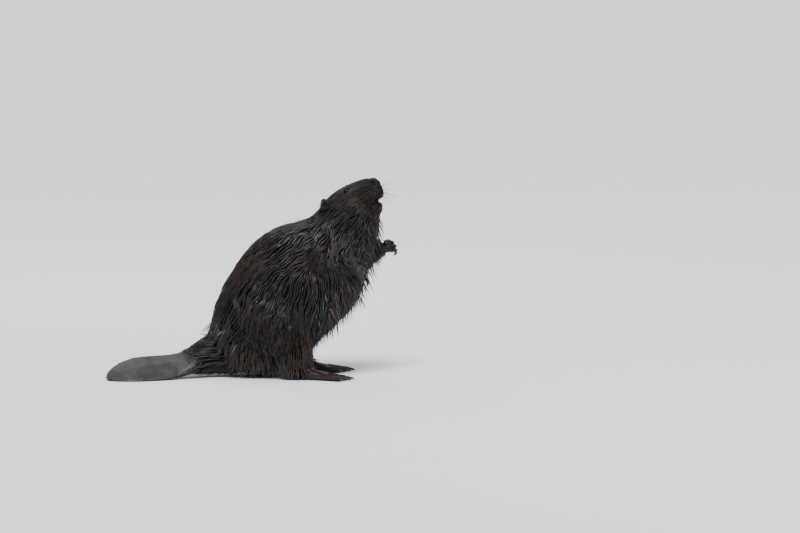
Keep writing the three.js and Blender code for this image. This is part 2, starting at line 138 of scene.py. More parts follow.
# The lie of the coat on the flanks, as seen from the side: where (x and z, mm), and which way.
FLANK_LIE = [
    (175, 427, -0.50, -0.87), (129, 402, -0.60, -0.80), (83, 411, -0.80, -0.60), (52, 371, -0.80, -0.60),
    (6, 356, -0.60, -0.80), (220, 411, -0.75, -0.65), (175, 365, -0.75, -0.65), (159, 335, -0.60, -0.80),
    (262, 400, -0.60, -0.80), (220, 319, -0.10, -1.00), (251, 365, -0.80, -0.60), (83, 341, -0.90, -0.40),
    (52, 310, -1.00, -0.15),
    (98, 298, -1.00, -0.10), (6, 273, -0.65, -0.75), (-9, 310, -0.75, -0.65), (52, 258, -0.60, -0.80),
    (98, 242, -0.45, -0.90), (40, 218, -0.60, -0.80), (144, 267, -0.10, -1.00), (190, 258, 0.05, -1.00),
    (129, 212, -0.25, -0.95), (175, 181, 0.05, -1.00), (113, 150, 0.00, -1.00), (52, 150, -0.10, -1.00),
    (-9, 181, -0.35, -0.93), (-45, 242, -0.35, -0.93), (-76, 242, -0.30, -0.95), (-100, 196, -0.25, -0.97),
    (-85, 141, -0.40, -0.90), (251, 227, 0.00, -1.00), (220, 166, -0.05, -1.00), (312, 365, 0.05, -1.00),
    (297, 298, 0.00, -1.00), (6, 43, -0.20, -1.00), (-39, 150, -0.30, -0.95), (113, 60, 0.05, -1.00),
]
# Folds of the hide on each flank, as seen from the side: how deep and how wide (mm), then where they run
# (x and z, mm).
FOLDS = {
    "haunch": (7.0, 9.0, [(-37, 232), (-33, 175), (-34, 120)]),
    "thigh_front": (5.0, 9.0, [(120, 215), (152, 165), (160, 120)]),
    "knee": (4.0, 7.0, [(-10, 90), (30, 78), (62, 60)]),
    "throat": (14.0, 9.0, [(245, 424), (275, 408), (284, 386), (280, 360), (272, 335)]),
    "armpit": (5.0, 8.0, [(205, 290), (175, 288), (158, 305), (150, 340)]),
    "back": (2.5, 9.0, [(-25, 330), (5, 345), (40, 372)]),
}
# Where the fine fur of the limbs spreads over the flank, as seen from the side: middle and half sizes
# (x and z, mm).
FINE_FUR = {"thigh": ((64, 135), (104, 84)), "upper_arm": ((190, 325), (50, 30))}
# Where brown underfur shows, and a spot of painted light on the muzzle, as seen from the side: x, z and size
# (mm), and how much.
BROWN_AND_PAINTED_LIGHT_PATCHES = [
    (14, 345, 26, 0.9), (114, 406, 26, 0.7), (251, 204, 46, 0.5), (289, 305, 26, 0.6), (-2, 38, 38, 0.9),
    (98, 70, 46, 0.45), (-92, 165, 26, 0.6), (268, 510, 9, 0.8), (318, 530, 12, 0.5), (60, 330, 12, 0.5),
    # (338, 508) is partly brown fur and partly painted light: it lightens the side of the muzzle, which faces
    # down out of the lamps.
    (338, 508, 16, 0.9), (-30, 285, 24, 0.5), (196, 330, 34, 0.45), (318, 440, 34, 0.45),
]
# Where wet points of fur break the outline of the breast and the elbows: x, z and size (mm), and how much.
RAGGED_SPOTS = [
    (350, 432, 12, 2.5), (338, 402, 12, 3.0), (342, 328, 16, 3.5), (325, 318, 20, 2.5), (318, 296, 16, 2.5),
    (312, 270, 18, 2.5), (285, 250, 24, 1.5),
]
# How far the messy curls of the rump reach: forwards, and from how low to how high (mm).
CURLS_FRONT, CURLS_LOW, CURLS_TOP = -52, 88, 152
# The heights over which the tufts on the back of the rump come in, and go out again (mm), and how dense
# they are, against 1 on the breast.
REAR_TUFTS_LOW, REAR_TUFTS_TOP, REAR_TUFTS = (80, 110), (145, 195), 2.2
# The coat gets shorter towards these kinds of skin: from how far away, and to what share of its length.
SHORTER_TOWARDS = {"ear": (16 * MM, 0.3), "forearm": (20 * MM, 0.35), "forepaw": (26 * MM, 0.3)}
KINDS = list(COAT)
BARE = ("hind_foot", "forepaw", "tail_blade")
SHORT_HAIR = ("head", "lower_jaw", "ear", "forepaw", "hind_foot")
MAX_TRIS = 190_000  # of one piece of the coat


def main_axes(node):
    """A flat solid's middle, and its ways along, across and up."""
    co = np.array([v.co[:] for v in NODES[node].data.vertices])
    along, across, up = np.linalg.svd(co - co.mean(0), full_matrices=False)[2]
    along *= -1 if along[0] > 0 else 1
    up *= 1 if up[2] > 0 else -1
    return co.mean(0), along, across, up


TAIL_AXES = main_axes("tail_blade")


def kind_of(node):
    """The kind of skin that a solid carries."""
    return next(k for k in sorted(KINDS, key=len, reverse=True) if node.startswith(k))


def among(kind, *names):
    """Where the kinds are any of the named ones."""
    return np.isin(kind, [KINDS.index(name) for name in names])


# ---- mesh helpers ----
def merged(node):
    """A copy of a solid's mesh with its corners joined."""
    bm = bmesh.new()
    bm.from_mesh(NODES[node].data)
    bmesh.ops.remove_doubles(bm, verts=bm.verts, dist=0.01 * MM)
    bm.normal_update()
    return bm


def solid_faces(names):
    """The corners and faces of several solids in one list each, and whose each face is."""
    points, faces, owners = [], [], []
    for name in names:
        mesh = NODES[name].data
        first = len(points)
        points.extend(v.co.copy() for v in mesh.vertices)
        faces.extend([first + i for i in p.vertices] for p in mesh.polygons)
        owners.extend([name] * len(mesh.polygons))
    return points, faces, owners


def to_object(name, mesh, *materials):
    """An object for a finished mesh, with its materials, riding on the body."""
    mesh.name = name
    obj = bpy.data.objects.new(name, mesh)
    bpy.context.scene.collection.objects.link(obj)
    obj.data.materials.clear()
    for material in materials:
        obj.data.materials.append(material)
    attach(obj, BODY)
    return obj


def mesh_of(bm, name="part"):
    """The mesh of a finished bmesh, which is used up."""
    mesh = bpy.data.meshes.new(name)
    bm.to_mesh(mesh)
    bm.free()
    return mesh


def from_bmesh(name, bm, *materials):
    """A smooth object for a finished bmesh."""
    mesh = mesh_of(bm, name)
    mesh.shade_smooth()
    return to_object(name, mesh, *materials)


def applied(obj):
    """The object's mesh with its modifiers applied; the object is used up."""
    graph = bpy.context.evaluated_depsgraph_get()
    mesh = bpy.data.meshes.new_from_object(obj.evaluated_get(graph), depsgraph=graph)
    bpy.data.objects.remove(obj)
    return mesh


def working_object(mesh):
    obj = bpy.data.objects.new("work", mesh)
    bpy.context.scene.collection.objects.link(obj)
    return obj


def table_of(items, name, width, kind=np.float32):
    """A value of every corner or edge of a mesh, as a table."""
    values = np.empty(len(items) * width, kind)
    items.foreach_get(name, values)
    return values.reshape(-1, width)


def corners(mesh):
    return table_of(mesh.vertices, "co", 3).astype(float)


def set_corners(mesh, co):
    mesh.vertices.foreach_set("co", co.astype(np.float32).ravel())
    mesh.update()


def above_floor(mesh):
    """Lifts the corners that lie below the floor on to it."""
    co = corners(mesh)
    co[:, 2] = np.maximum(co[:, 2], 0)
    set_corners(mesh, co)


def normals_of(mesh):
    return table_of(mesh.vertex_normals, "vector", 3).astype(float)


def edges_of(mesh):
    return table_of(mesh.edges, "vertices", 2, np.int32)


def unit(v):
    return v / np.maximum(np.linalg.norm(v, axis=-1, keepdims=True), 1e-9)


def smoothstep(low, high, x):
    t = np.clip((x - low) / (high - low), 0, 1)
    return t * t * (3 - 2 * t)


def bell(x, width):
    """A smooth bump: 1 where x is 0, and next to nothing two widths away."""
    return np.exp(-((x / width) ** 2))


def away_from(co, place):
    """How far each place is from one place."""
    return np.linalg.norm(co - np.array(place), axis=1)


def patch_on(co, x, z, size):
    """A soft round patch of that size (all in mm), as seen from the side."""
    return bell(np.linalg.norm(co[:, [0, 2]] - np.array([x, z]) * MM, axis=1), size * MM)


def spread(values, edges, rounds):
    """Evens out values over neighbouring corners."""
    a, b = edges.T
    count = len(values)
    degree = np.bincount(a, minlength=count) + np.bincount(b, minlength=count)
    for _ in range(rounds):
        total = [
            np.bincount(a, column[b], count) + np.bincount(b, column[a], count)
            for column in values.T
        ]
        values = 0.5 * values + 0.5 * np.stack(total, 1) / np.maximum(degree, 1)[:, None]
    return values


def ripple(p, size, seed=0):
    """A smooth wandering value between about -1 and 1 over places p, with bumps of that size in metres."""
    turns = np.random.default_rng(seed)
    total = 0
    for _ in range(5):
        way = unit(turns.normal(size=3)) * turns.uniform(0.7, 1.4)
        total = total + np.sin(p @ way * (2 * math.pi / size) + turns.uniform(0, 2 * math.pi))
    return total / 2.5


# ---- materials ----
def socket(group, name, kind, value=None, out=False):
    made = group.interface.new_socket(
        name, in_out="OUTPUT" if out else "INPUT", socket_type=kind
    )
    if value is not None:
        made.default_value = value


def node(tree, kind, place, **settings):
    """A node at a grid place, with its properties and inputs set."""
    made = tree.nodes.new(kind)
    made.location = (place[0] * 220, place[1] * -220)
    for key, value in settings.items():
        if hasattr(made, key):
            setattr(made, key, value)
        else:
            made.inputs[key.replace("_", " ")].default_value = value
    return made


def placed(tree, place):
    """The place on the object."""
    return node(tree, "ShaderNodeTexCoord", place).outputs["Object"]


def noise(tree, at, place, scale, detail):
    """Cloudy values over the given places."""
    made = node(tree, "ShaderNodeTexNoise", place, Scale=scale, Detail=detail)
    tree.links.new(at, made.inputs["Vector"])
    return made.outputs["Fac"]


def ranged(tree, value, place, low, high, to_low, to_high):
    """A value moved from one range to another."""
    made = node(tree, "ShaderNodeMapRange", place, From_Min=low, From_Max=high, To_Min=to_low, To_Max=to_high)
    tree.links.new(value, made.inputs["Value"])
    return made.outputs["Result"]


def sum_of(tree, place, kind, *values, clamp=False):
    """Values put together by a kind of sum; a plain number is set and not linked."""
    made = node(tree, "ShaderNodeMath", place, operation=kind, use_clamp=clamp)
    for entry, value in zip(made.inputs, values):
        if isinstance(value, float):
            entry.default_value = value
        else:
            tree.links.new(value, entry)
    return made.outputs[0]


def blended(tree, place, a, b, factor):
    """A mix of two colours; a plain colour is set and not linked."""
    made = node(tree, "ShaderNodeMix", place, data_type="RGBA")
    for name, value in (("A", a), ("B", b)):
        if isinstance(value, tuple):
            made.inputs[name].default_value = value
        else:
            tree.links.new(value, made.inputs[name])
    tree.links.new(factor, made.inputs["Factor"])
    return made.outputs["Result"]


def scaled(tree, place, colour, amount):
    """A colour made darker or lighter."""
    made = node(tree, "ShaderNodeVectorMath", place, operation="SCALE")
    if isinstance(colour, bpy.types.NodeSocket):
        tree.links.new(colour, made.inputs[0])
    else:
        made.inputs[0].default_value = colour
    tree.links.new(amount, made.inputs["Scale"])
    return made.outputs["Vector"]


def bumped(tree, place, height, strength, distance):
    """The normal over a height."""
    made = node(tree, "ShaderNodeBump", place, Strength=strength, Distance=distance)
    tree.links.new(height, made.inputs["Height"])
    return made.outputs["Normal"]


def fur_colour_group():
    """Wet fur: dark locks, brown where the tint says, lighter at the tips, dull or glossy in patches."""
    group = bpy.data.node_groups.new("Wet Fur Colour", "ShaderNodeTree")
    socket(group, "Dark", "NodeSocketColor", (0.01, 0.01, 0.01, 1))
    socket(group, "Brown", "NodeSocketColor", (0.05, 0.03, 0.02, 1))
    socket(group, "Tint", "NodeSocketFloat", 0.3)
    socket(group, "Tip", "NodeSocketFloat", 0.5)
    socket(group, "Colour", "NodeSocketColor", out=True)
    socket(group, "Roughness", "NodeSocketFloat", out=True)
    given = node(group, "NodeGroupInput", (0, 0)).outputs
    made = node(group, "NodeGroupOutput", (6, 0)).inputs
    place = placed(group, (0, 2))
    patches = noise(group, place, (1, 2), 22.0, 3.0)
    strands = noise(group, place, (1, 3), 240.0, 2.0)
    tipped = sum_of(group, (2, 1), "MULTIPLY_ADD", given["Tip"], 0.06, given["Tint"])
    patchy = ranged(group, patches, (2, 2), 0.35, 0.7, -0.22, 0.18)
    mixed = sum_of(group, (3, 1), "ADD", tipped, patchy, clamp=True)
    blend = blended(group, (4, 0), given["Dark"], given["Brown"], mixed)
    shade = ranged(group, strands, (3, 3), 0.3, 0.7, 0.6, 1.5)
    group.links.new(scaled(group, (5, 0), blend, shade), made["Colour"])
    group.links.new(ranged(group, strands, (4, 3), 0.3, 0.7, 0.25, 0.44), made["Roughness"])


def grain_group():
    """Leathery grain: small cells with creases between, as a height."""
    group = bpy.data.node_groups.new("Leathery Grain", "ShaderNodeTree")
    socket(group, "Size", "NodeSocketFloat", 500.0)
    socket(group, "Height", "NodeSocketFloat", out=True)
    link = group.links.new
    size = node(group, "NodeGroupInput", (0, 0)).outputs["Size"]
    made = node(group, "NodeGroupOutput", (4, 0)).inputs
    place = placed(group, (0, 1))
    cells = node(group, "ShaderNodeTexVoronoi", (1, 0), feature="DISTANCE_TO_EDGE")
    fine = node(group, "ShaderNodeTexNoise", (1, 1), Detail=4.0)
    for pattern in (cells, fine):
        link(place, pattern.inputs["Vector"])
        link(size, pattern.inputs["Scale"])
    flat = ranged(group, cells.outputs["Distance"], (2, 0), 0.0, 0.25, 0.0, 1.0)
    link(sum_of(group, (3, 0), "MULTIPLY_ADD", fine.outputs["Fac"], 0.4, flat), made["Height"])


def principled(name, **inputs):
    """A material with its shader node, and the inputs given as words set."""
    material = bpy.data.materials.new(name)
    material.use_nodes = True
    shader = material.node_tree.nodes["Principled BSDF"]
    for key, value in inputs.items():
        shader.inputs[key.replace("_", " ")].default_value = value
    return material, material.node_tree, shader


def attribute(tree, name, place):
    return node(tree, "ShaderNodeAttribute", place, attribute_name=name).outputs["Fac"]


def fur_colour(tree, place, colours, share):
    """The node of the fur's colour, with a share of the fur's own colours."""
    fur = node(tree, "ShaderNodeGroup", place, node_tree=bpy.data.node_groups["Wet Fur Colour"])
    fur.inputs["Dark"].default_value = (*[c * share[0] for c in colours.dark], 1)
    fur.inputs["Brown"].default_value = (*[c * share[1] for c in colours.brown], 1)
    tree.links.new(attribute(tree, "tint", (place[0] - 2, 0)), fur.inputs["Tint"])
    return fur


def coat_material(colours):
    material, tree, shader = principled("Wet Coat", Specular_IOR_Level=0.66)
    fur = fur_colour(tree, (-3, 0), colours, (1, 1))
    tree.links.new(attribute(tree, "tip", (-5, 1)), fur.inputs["Tip"])
    tree.links.new(fur.outputs["Colour"], shader.inputs["Base Color"])
    tree.links.new(fur.outputs["Roughness"], shader.inputs["Roughness"])
    return material


# How glossy the wet bare skin is where each mask says; a paw adds to the bare skin under it.
WET_GLOSS = {"nose": 0.08, "scaly": 0.3, "bare": 0.35, "paw": 0.25}


def skin_material(colours):
    """Furred skin, with bare leathery skin where the masks say: feet, paws, nose and tail, and painted shade
    in the mouth and the hollows of the ears.
    """
    material, tree, shader = principled(
        "Beaver Skin", Specular_IOR_Level=0.12, Coat_Roughness=0.2, Coat_IOR=1.45
    )
    link = tree.links.new
    # Painted shade: where it is furred the skin takes only 0.15 of the fur's dark and 0.2 of its brown, so
    # the gaps between the locks read as shadow.
    fur = fur_colour(tree, (-9, 0), colours, (0.15, 0.2))
    fur.inputs["Tip"].default_value = 0.0
    colour = fur.outputs["Colour"]
    layers = {
        "bare": colours.foot,
        "paw": colours.paw,
        "scaly": colours.tail,
        "nose": colours.nose,
        # painted shade in the mouth and in the hollows of the ears
        "mouth": colours.mouth,
    }
    for column, (mask, paint) in enumerate(layers.items(), -8):
        colour = blended(tree, (column, 0), colour, (*paint, 1), attribute(tree, mask, (column, 2)))
    mottle = noise(tree, placed(tree, (-5, 4)), (-4, 4), 90.0, 5.0)
    amount = ranged(tree, mottle, (-3, 4), 0.3, 0.7, 0.65, 1.35)
    link(scaled(tree, (-2, 0), colour, amount), shader.inputs["Base Color"])
    gloss = 0.0
    for row, (mask, share) in enumerate(WET_GLOSS.items()):
        wet = attribute(tree, mask, (-6, 7 + row))
        gloss = sum_of(tree, (-5 + row, 7), "MULTIPLY_ADD", wet, share, gloss, clamp=True)
    link(gloss, shader.inputs["Coat Weight"])
    link(ranged(tree, mottle, (-3, 5), 0.3, 0.7, 0.5, 0.8), shader.inputs["Roughness"])
    grain = node(tree, "ShaderNodeGroup", (-3, 6), node_tree=bpy.data.node_groups["Leathery Grain"])
    grain.inputs["Size"].default_value = 420.0
    link(bumped(tree, (-1, 5), grain.outputs["Height"], 0.7, 0.6 * MM), shader.inputs["Normal"])
    return material


def grained_material(name, colour, roughness, size, depth, patchy=0.0, **inputs):
    """A plain horny or scaly finish whose colour and gloss wander, over a fine grain."""
    material, tree, shader = principled(name, **inputs)
    link = tree.links.new
    place = placed(tree, (-6, 0))
    fine = noise(tree, place, (-5, 0), size, 5.0)
    broad = noise(tree, place, (-5, 2), size / 8, 3.0)
    wide = ranged(tree, broad, (-4, 2), 0.35, 0.65, 1 - patchy, 1 + patchy)
    amount = sum_of(tree, (-3, 2), "MULTIPLY", ranged(tree, fine, (-3, 0), 0.3, 0.7, 0.6, 1.4), wide)
    link(scaled(tree, (-2, 0), colour, amount), shader.inputs["Base Color"])
    gloss = ranged(tree, fine, (-3, 1), 0.3, 0.7, roughness * 0.8, roughness * 1.25)
    link(gloss, shader.inputs["Roughness"])
    link(bumped(tree, (-1, 1), fine, 0.4, depth), shader.inputs["Normal"])
    return material


# ---- the skin ----
def solids_tree():
    """A search tree over all flesh solids, and the kind of skin behind each of its faces."""
    points, faces, owners = solid_faces(FLESH_NODES)
    return BVHTree.FromPolygons(points, faces), np.array([KINDS.index(kind_of(name)) for name in owners])


def kinds_at(places, tree, kinds):
    return kinds[[tree.find_nearest(p)[2] for p in map(Vector, places)]]


def coat_kinds(places, tree, kinds):
    """The kind of coat at each place: of the solid behind it, with the limbs' fine fur spread wider."""
    kind = kinds_at(places, tree, kinds)
    flank = among(kind, "chest", "belly", "rump", "shank")
    flank &= np.abs(places[:, 1]) > 55 * MM
    for name, area in FINE_FUR.items():
        spot, half = (np.array(v) * MM for v in area)
        inside = np.linalg.norm((places[:, [0, 2]] - spot) / half, axis=1) < 1
        kind = np.where(inside & flank, KINDS.index(name), kind)
    return kind


def joined_flesh(weld, voxel):
    """All flesh solids, grown until they touch, as one closed surface of small squares."""
    bm = bmesh.new()
    for name in FLESH_NODES + EYE_NODES:
        part = merged(name)
        for v in part.verts:
            v.co += v.normal * weld
        mesh = mesh_of(part)
        bm.from_mesh(mesh)
        bpy.data.meshes.remove(mesh)
    turn = (GAPE[1] - GAPE[0]).normalized().to_track_quat("X", "Z").to_matrix().to_4x4()
    for spot, half in MOUTH_LINING:
        part = bmesh.ops.create_uvsphere(bm, u_segments=20, v_segments=12, radius=1)["verts"]
        place = Matrix.Translation(Vector(spot) * MM) @ turn
        bmesh.ops.transform(bm, verts=part, matrix=place @ Matrix.Diagonal((*[h * MM for h in half], 1)))
    obj = working_object(mesh_of(bm))
    obj.modifiers.new("close", "REMESH").voxel_size = voxel
    return applied(obj)


def weighted(mesh, name, weights):
    """An object with a vertex group of the given weights, in steps of a tenth."""
    obj = working_object(mesh)
    group = obj.vertex_groups.new(name=name)
    steps = np.round(np.clip(weights, 0, 1) * 10).astype(int)
    for step in np.unique(steps):
        group.add(np.flatnonzero(steps == step).tolist(), step / 10, "REPLACE")
    return obj


def eye_axes(side):
    """The eye's middle, and its ways forwards along the slit, up and out."""
    centre = middle(f"eye_{side}")
    y = SIDES[side]
    out = Vector((-0.16, 0.80 * y, 0.58)).normalized()
    along = (NOSE - centre) - (NOSE - centre).dot(out) * out
    along.normalize()
    up = out.cross(along) * (1 if out.cross(along).z > 0 else -1)
    return centre, along, up, out


def eye_radius(side):
    low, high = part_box(f"eye_{side}")
    return (high - low).z / 2


def refine(bm, centre, radius, rounds):
    """Splits the faces near a place."""
    for _ in range(rounds):
        edges = [e for e in bm.edges if (e.verts[0].co - centre).length < radius]
        bmesh.ops.subdivide_edges(bm, edges=edges, cuts=1, use_grid_fill=True, smooth=0.6)


def sculpt_eye(co, side, radius, lids):
    """Draws the skin over the eyeball as two lids with a crease above and a fold below."""
    centre, along, up, out = (np.array(v) for v in eye_axes(side))
    d = co - centre
    x, y, z = d @ along, d @ up, d @ out
    r = np.hypot(x, y)
    near = (r < 3.2 * radius) & (z > -radius)
    half = lids.eye_length / 2
    lid = np.clip(1 - (x / half) ** 2, 0, 1)
    opening = np.where(y > 0, lids.eye_open * 0.55, lids.eye_open * 0.45) * lid
    gap = np.abs(y) - opening  # below 0 in the opening
    ball = np.sqrt(np.clip((radius + 0.8 * MM) ** 2 - np.minimum(r, radius) ** 2, 0, None))
    inner = np.sqrt(np.clip((radius - 1.2 * MM) ** 2 - np.minimum(r, radius) ** 2, 0, None))
    lid_z = ball + 0.7 * MM * bell(gap - 0.5 * MM, 0.7 * MM)
    lid_z -= 0.7 * MM * bell(gap - 2.6 * MM, 0.7 * MM)
    lid_z += 0.8 * MM * bell(gap - 4.2 * MM, 1.3 * MM)
    opened = 1 - smoothstep(-0.25 * MM, 0.25 * MM, gap)
    opened *= np.abs(x) < half
    covered = 1 - smoothstep(0.8 * radius, 1.7 * radius, r)
    target = covered * np.maximum(lid_z, z * 0.25) + (1 - covered) * z
    target = opened * inner + (1 - opened) * target
    co[near] += (target - z)[near, None] * out


def dent(co, centre, radii, axes, depth, rim):
    """Pushes the skin in at a place, with a raised rim round it."""
    d = co - np.array(centre)
    local = np.stack([d @ np.array(a) for a in axes], 1) / np.array(radii)
    r = np.linalg.norm(local, axis=1)
    push = -depth * (1 - smoothstep(0.0, 1.0, r)) + rim * bell(r - 1.25, 0.3)
    near = r < 2.5
    co[near] += push[near, None] * np.array(axes[2])


def nostril(side):
    y = SIDES[side]
    return Vector((HEAD_HIGH.x - 33 * MM, 23 * MM * y, HEAD_HIGH.z - 13 * MM))


def in_nose_pad(co):
    """How far out each place lies in the bare pad of the nose: 1 on its edge."""
    return np.linalg.norm((co - np.array(NOSE_PAD)) / np.array(NOSE_PAD_SIZE), axis=1)


def in_mouth(co):
    """How far out each place lies in the inside of the mouth: 1 on its edge."""
    way = (GAPE[1] - GAPE[0]).normalized()
    up = Vector((-way.z, 0, way.x))
    d = co - np.array(GAPE[0].lerp(GAPE[1], 0.35))
    local = np.stack([d @ np.array(way), d[:, 1], d @ np.array(up)], 1)
    return np.linalg.norm(local / np.array([19 * MM, 27 * MM, 6.5 * MM]), axis=1)


def in_ears(co):
    """How far out each place lies in the hollow of the nearer ear: 1 on its edge."""
    apart = [
        away_from(co, middle(f"ear_{side}") + Vector((4.5, 6.5 * y, 2)) * MM)
        for side, y in SIDES.items()
    ]
    return np.minimum(*apart) / (8.5 * MM)


def swell(co, normal, centre, radius, height):
    """Raises a round swelling."""
    r = away_from(co, centre) / radius
    co += normal * (height * (1 - smoothstep(0, 1, r)))[:, None]


def sculpt_face(co, normal):
    """Cheeks, brows, whisker pads, the pad of the nose and the cleft of the upper lip."""
    for y in SIDES.values():
        for back, out, z, radius, height in FACE_SWELLINGS.values():
            swell(co, normal, (HEAD_HIGH.x - back * MM, out * MM * y, z), radius * MM, height * MM)
    r = in_nose_pad(co)
    push = -1.5 * MM * bell(r - 1.06, 0.10) + 1.2 * MM * (1 - smoothstep(0.7, 1.0, r))
    front = smoothstep(0.2, 0.7, normal[:, 0])
    lips = (co[:, 2] > 488 * MM) & (co[:, 2] < NOSE_PAD.z - 8 * MM) & (co[:, 0] > HEAD_HIGH.x - 30 * MM)
    push -= 3.2 * MM * bell(co[:, 1], 2.4 * MM) * front * lips
    push -= 1.3 * MM * bell(co[:, 1], 1.8 * MM) * front * (r < 1.0)
    co += normal * push[:, None]


def from_line(co, line):
    """How far each place is, as seen from the side, from a line of x and z."""
    p = co[:, [0, 2]]
    best = np.full(len(co), 1e9)
    for a, b in zip(line, line[1:]):
        a, b = np.array(a) * MM, np.array(b) * MM
        t = np.clip((p - a) @ (b - a) / ((b - a) @ (b - a)), 0, 1)
        best = np.minimum(best, np.linalg.norm(p - a - t[:, None] * (b - a), axis=1))
    return best


def sculpt_folds(co, normal):
    """Presses the folds of the hide into both flanks."""
    flank = smoothstep(0.15, 0.6, np.abs(normal[:, 1])) * (np.abs(co[:, 1]) > 15 * MM)
    for depth, width, line in FOLDS.values():
        groove = bell(from_line(co, line), width * MM)
        co -= normal * (depth * MM * groove * flank)[:, None]


def sculpt_tail(co, normal, kind):
    """A low ridge along the middle of the tail's upper face."""
    blade = among(kind, "tail_blade")
    centre, along, across, up = TAIL_AXES
    d = co - centre
    top = smoothstep(0.1, 0.6, normal @ up)
    length = d @ along
    fade = smoothstep(-0.13, -0.09, length) * (1 - smoothstep(0.06, 0.12, length))
    ridge = 1.8 * MM * bell(d @ across, 5 * MM)
    co += normal * (ridge * top * fade * blade)[:, None]


def sculpt_paws(co, normal, kind):
    """Wrinkles and knuckles over the paws and feet."""
    for name, height in (("forepaw", 0.4 * MM), ("hind_foot", 0.3 * MM)):
        here = among(kind, name)
        wrinkles = ripple(co[here], 9 * MM, 12) + 0.4 * ripple(co[here], 5 * MM, 13)
        co[here] += normal[here] * (height * wrinkles)[:, None]


def distance_to(co, names):
    """How far each place is from the nearest of the named solids."""
    points, faces, _ = solid_faces(names)
    tree = BVHTree.FromPolygons(points, faces)
    return np.array([tree.find_nearest(p)[3] for p in map(Vector, co)])


def nodes_of(kind):
    """The flesh solids that carry a kind of skin."""
    return [name for name in FLESH_NODES if kind_of(name) == kind]


def skin_fields(co, normal, edges, tree, kinds):
    """What each corner of the skin carries: coat depth, lock sizes, tint, lie of the coat and masks."""
    kind = coat_kinds(co, tree, kinds)
    table = np.array([COAT[k] for k in KINDS])
    values = table[kind]
    for others, (reach, share) in SHORTER_TOWARDS.items():
        apart = distance_to(co, nodes_of(others))
        short = 1 - (1 - share) * (1 - smoothstep(0.3 * reach, reach, apart))
        short = np.where(among(kind, others), 1, short)
        values[:, [LENGTH, ROW_GAP, LOCK_GAP]] *= (0.45 + 0.55 * short)[:, None]
        values[:, STAND] *= short
    grown = 0.33 + 0.67 * smoothstep(15 * MM, 110 * MM, away_from(co, NOSE_PAD))
    face = among(kind, "head", "lower_jaw")
    values[:, [LENGTH, LOCK_GAP]] *= np.where(face, grown, 1)[:, None]
    values[:, [WIDTH, ROW_GAP]] *= np.where(face, 0.4 + 0.6 * grown, 1)[:, None]
    # The patches raise the tint: brown underfur, and on the side of the muzzle painted light as well.
    for x, z, size, amount in BROWN_AND_PAINTED_LIGHT_PATCHES:
        patch = amount * patch_on(co, x, z, size)
        patch = np.where(np.abs(co[:, 1]) > 8 * MM, patch, 0.5 * patch)
        values[:, TINT] = np.maximum(values[:, TINT], patch)
    crease = np.zeros(len(co))
    for depth, width, line in FOLDS.values():
        crease = np.maximum(crease, depth / 16 * bell(from_line(co, line), width * MM))
    values[:, [LENGTH, STAND]] *= (1 - 0.6 * crease * (np.abs(co[:, 1]) > 15 * MM))[:, None]
    lie = spread(lie_of_coat(co, kind), edges, 25)
    lie -= np.sum(lie * normal, 1, keepdims=True) * normal
    bare = among(kind, "hind_foot", "forepaw").astype(float)
    scaly = among(kind, "tail_blade").astype(float)
    bare = np.where(among(kind, "ear"), 0.4, bare)
    paw = among(kind, "forepaw").astype(float)
    masks = spread(np.stack([bare, scaly, paw], 1), edges, 5)
    values = spread(values, edges, 8)
    return {"kind": kind, "values": values, "lie": unit(lie), **dict(zip(("bare", "scaly", "paw"), masks.T))}


def lie_of_coat(p, kind):
    """The way the hair points at each place: back over the head, down the body, out along the limbs."""
    table = np.array(FLANK_LIE)
    apart = np.sum((p[:, None, [0, 2]] - table[None, :, :2] * MM) ** 2, 2)
    share = np.exp(-apart / (2 * (24 * MM) ** 2)) + 1e-6 / (apart + 1e-6)
    flat = unit(share @ unit(table[:, 2:]))
    ways = np.stack([flat[:, 0], np.zeros(len(p)), flat[:, 1]], 1)
    side = np.sign(p[:, 1:2])
    nose = np.array(NOSE)
    head = unit(unit(p - nose) * 0.5 + unit(np.array(NECK) - nose) * 0.6)
    fixed = {
        "lower_jaw": np.array([-0.55, 0, -0.85]),
        "tail_root": np.array(TAIL_WAY) + np.array([0, 0, -0.12]),
        "tail_blade": np.array(TAIL_WAY),
        "hind_foot": np.array([1.0, 0, -0.15]),
        "forearm": np.array([0.62, 0, -0.80]),
        "forepaw": np.array([0.9, 0, -0.45]),
    }
    for name, way in fixed.items():
        ways[among(kind, name)] = unit(way)
    here = among(kind, "head")
    ways[here] = head[here]
    here = among(kind, "ear")
    ways[here] = np.hstack([np.full_like(side, -0.35), 0.25 * side, np.ones_like(side)])[here]
    return ways


def put_attribute(mesh, name, values):
    layer = mesh.attributes.new(name, "FLOAT", "POINT")
    layer.data.foreach_set("value", np.asarray(values, np.float32))


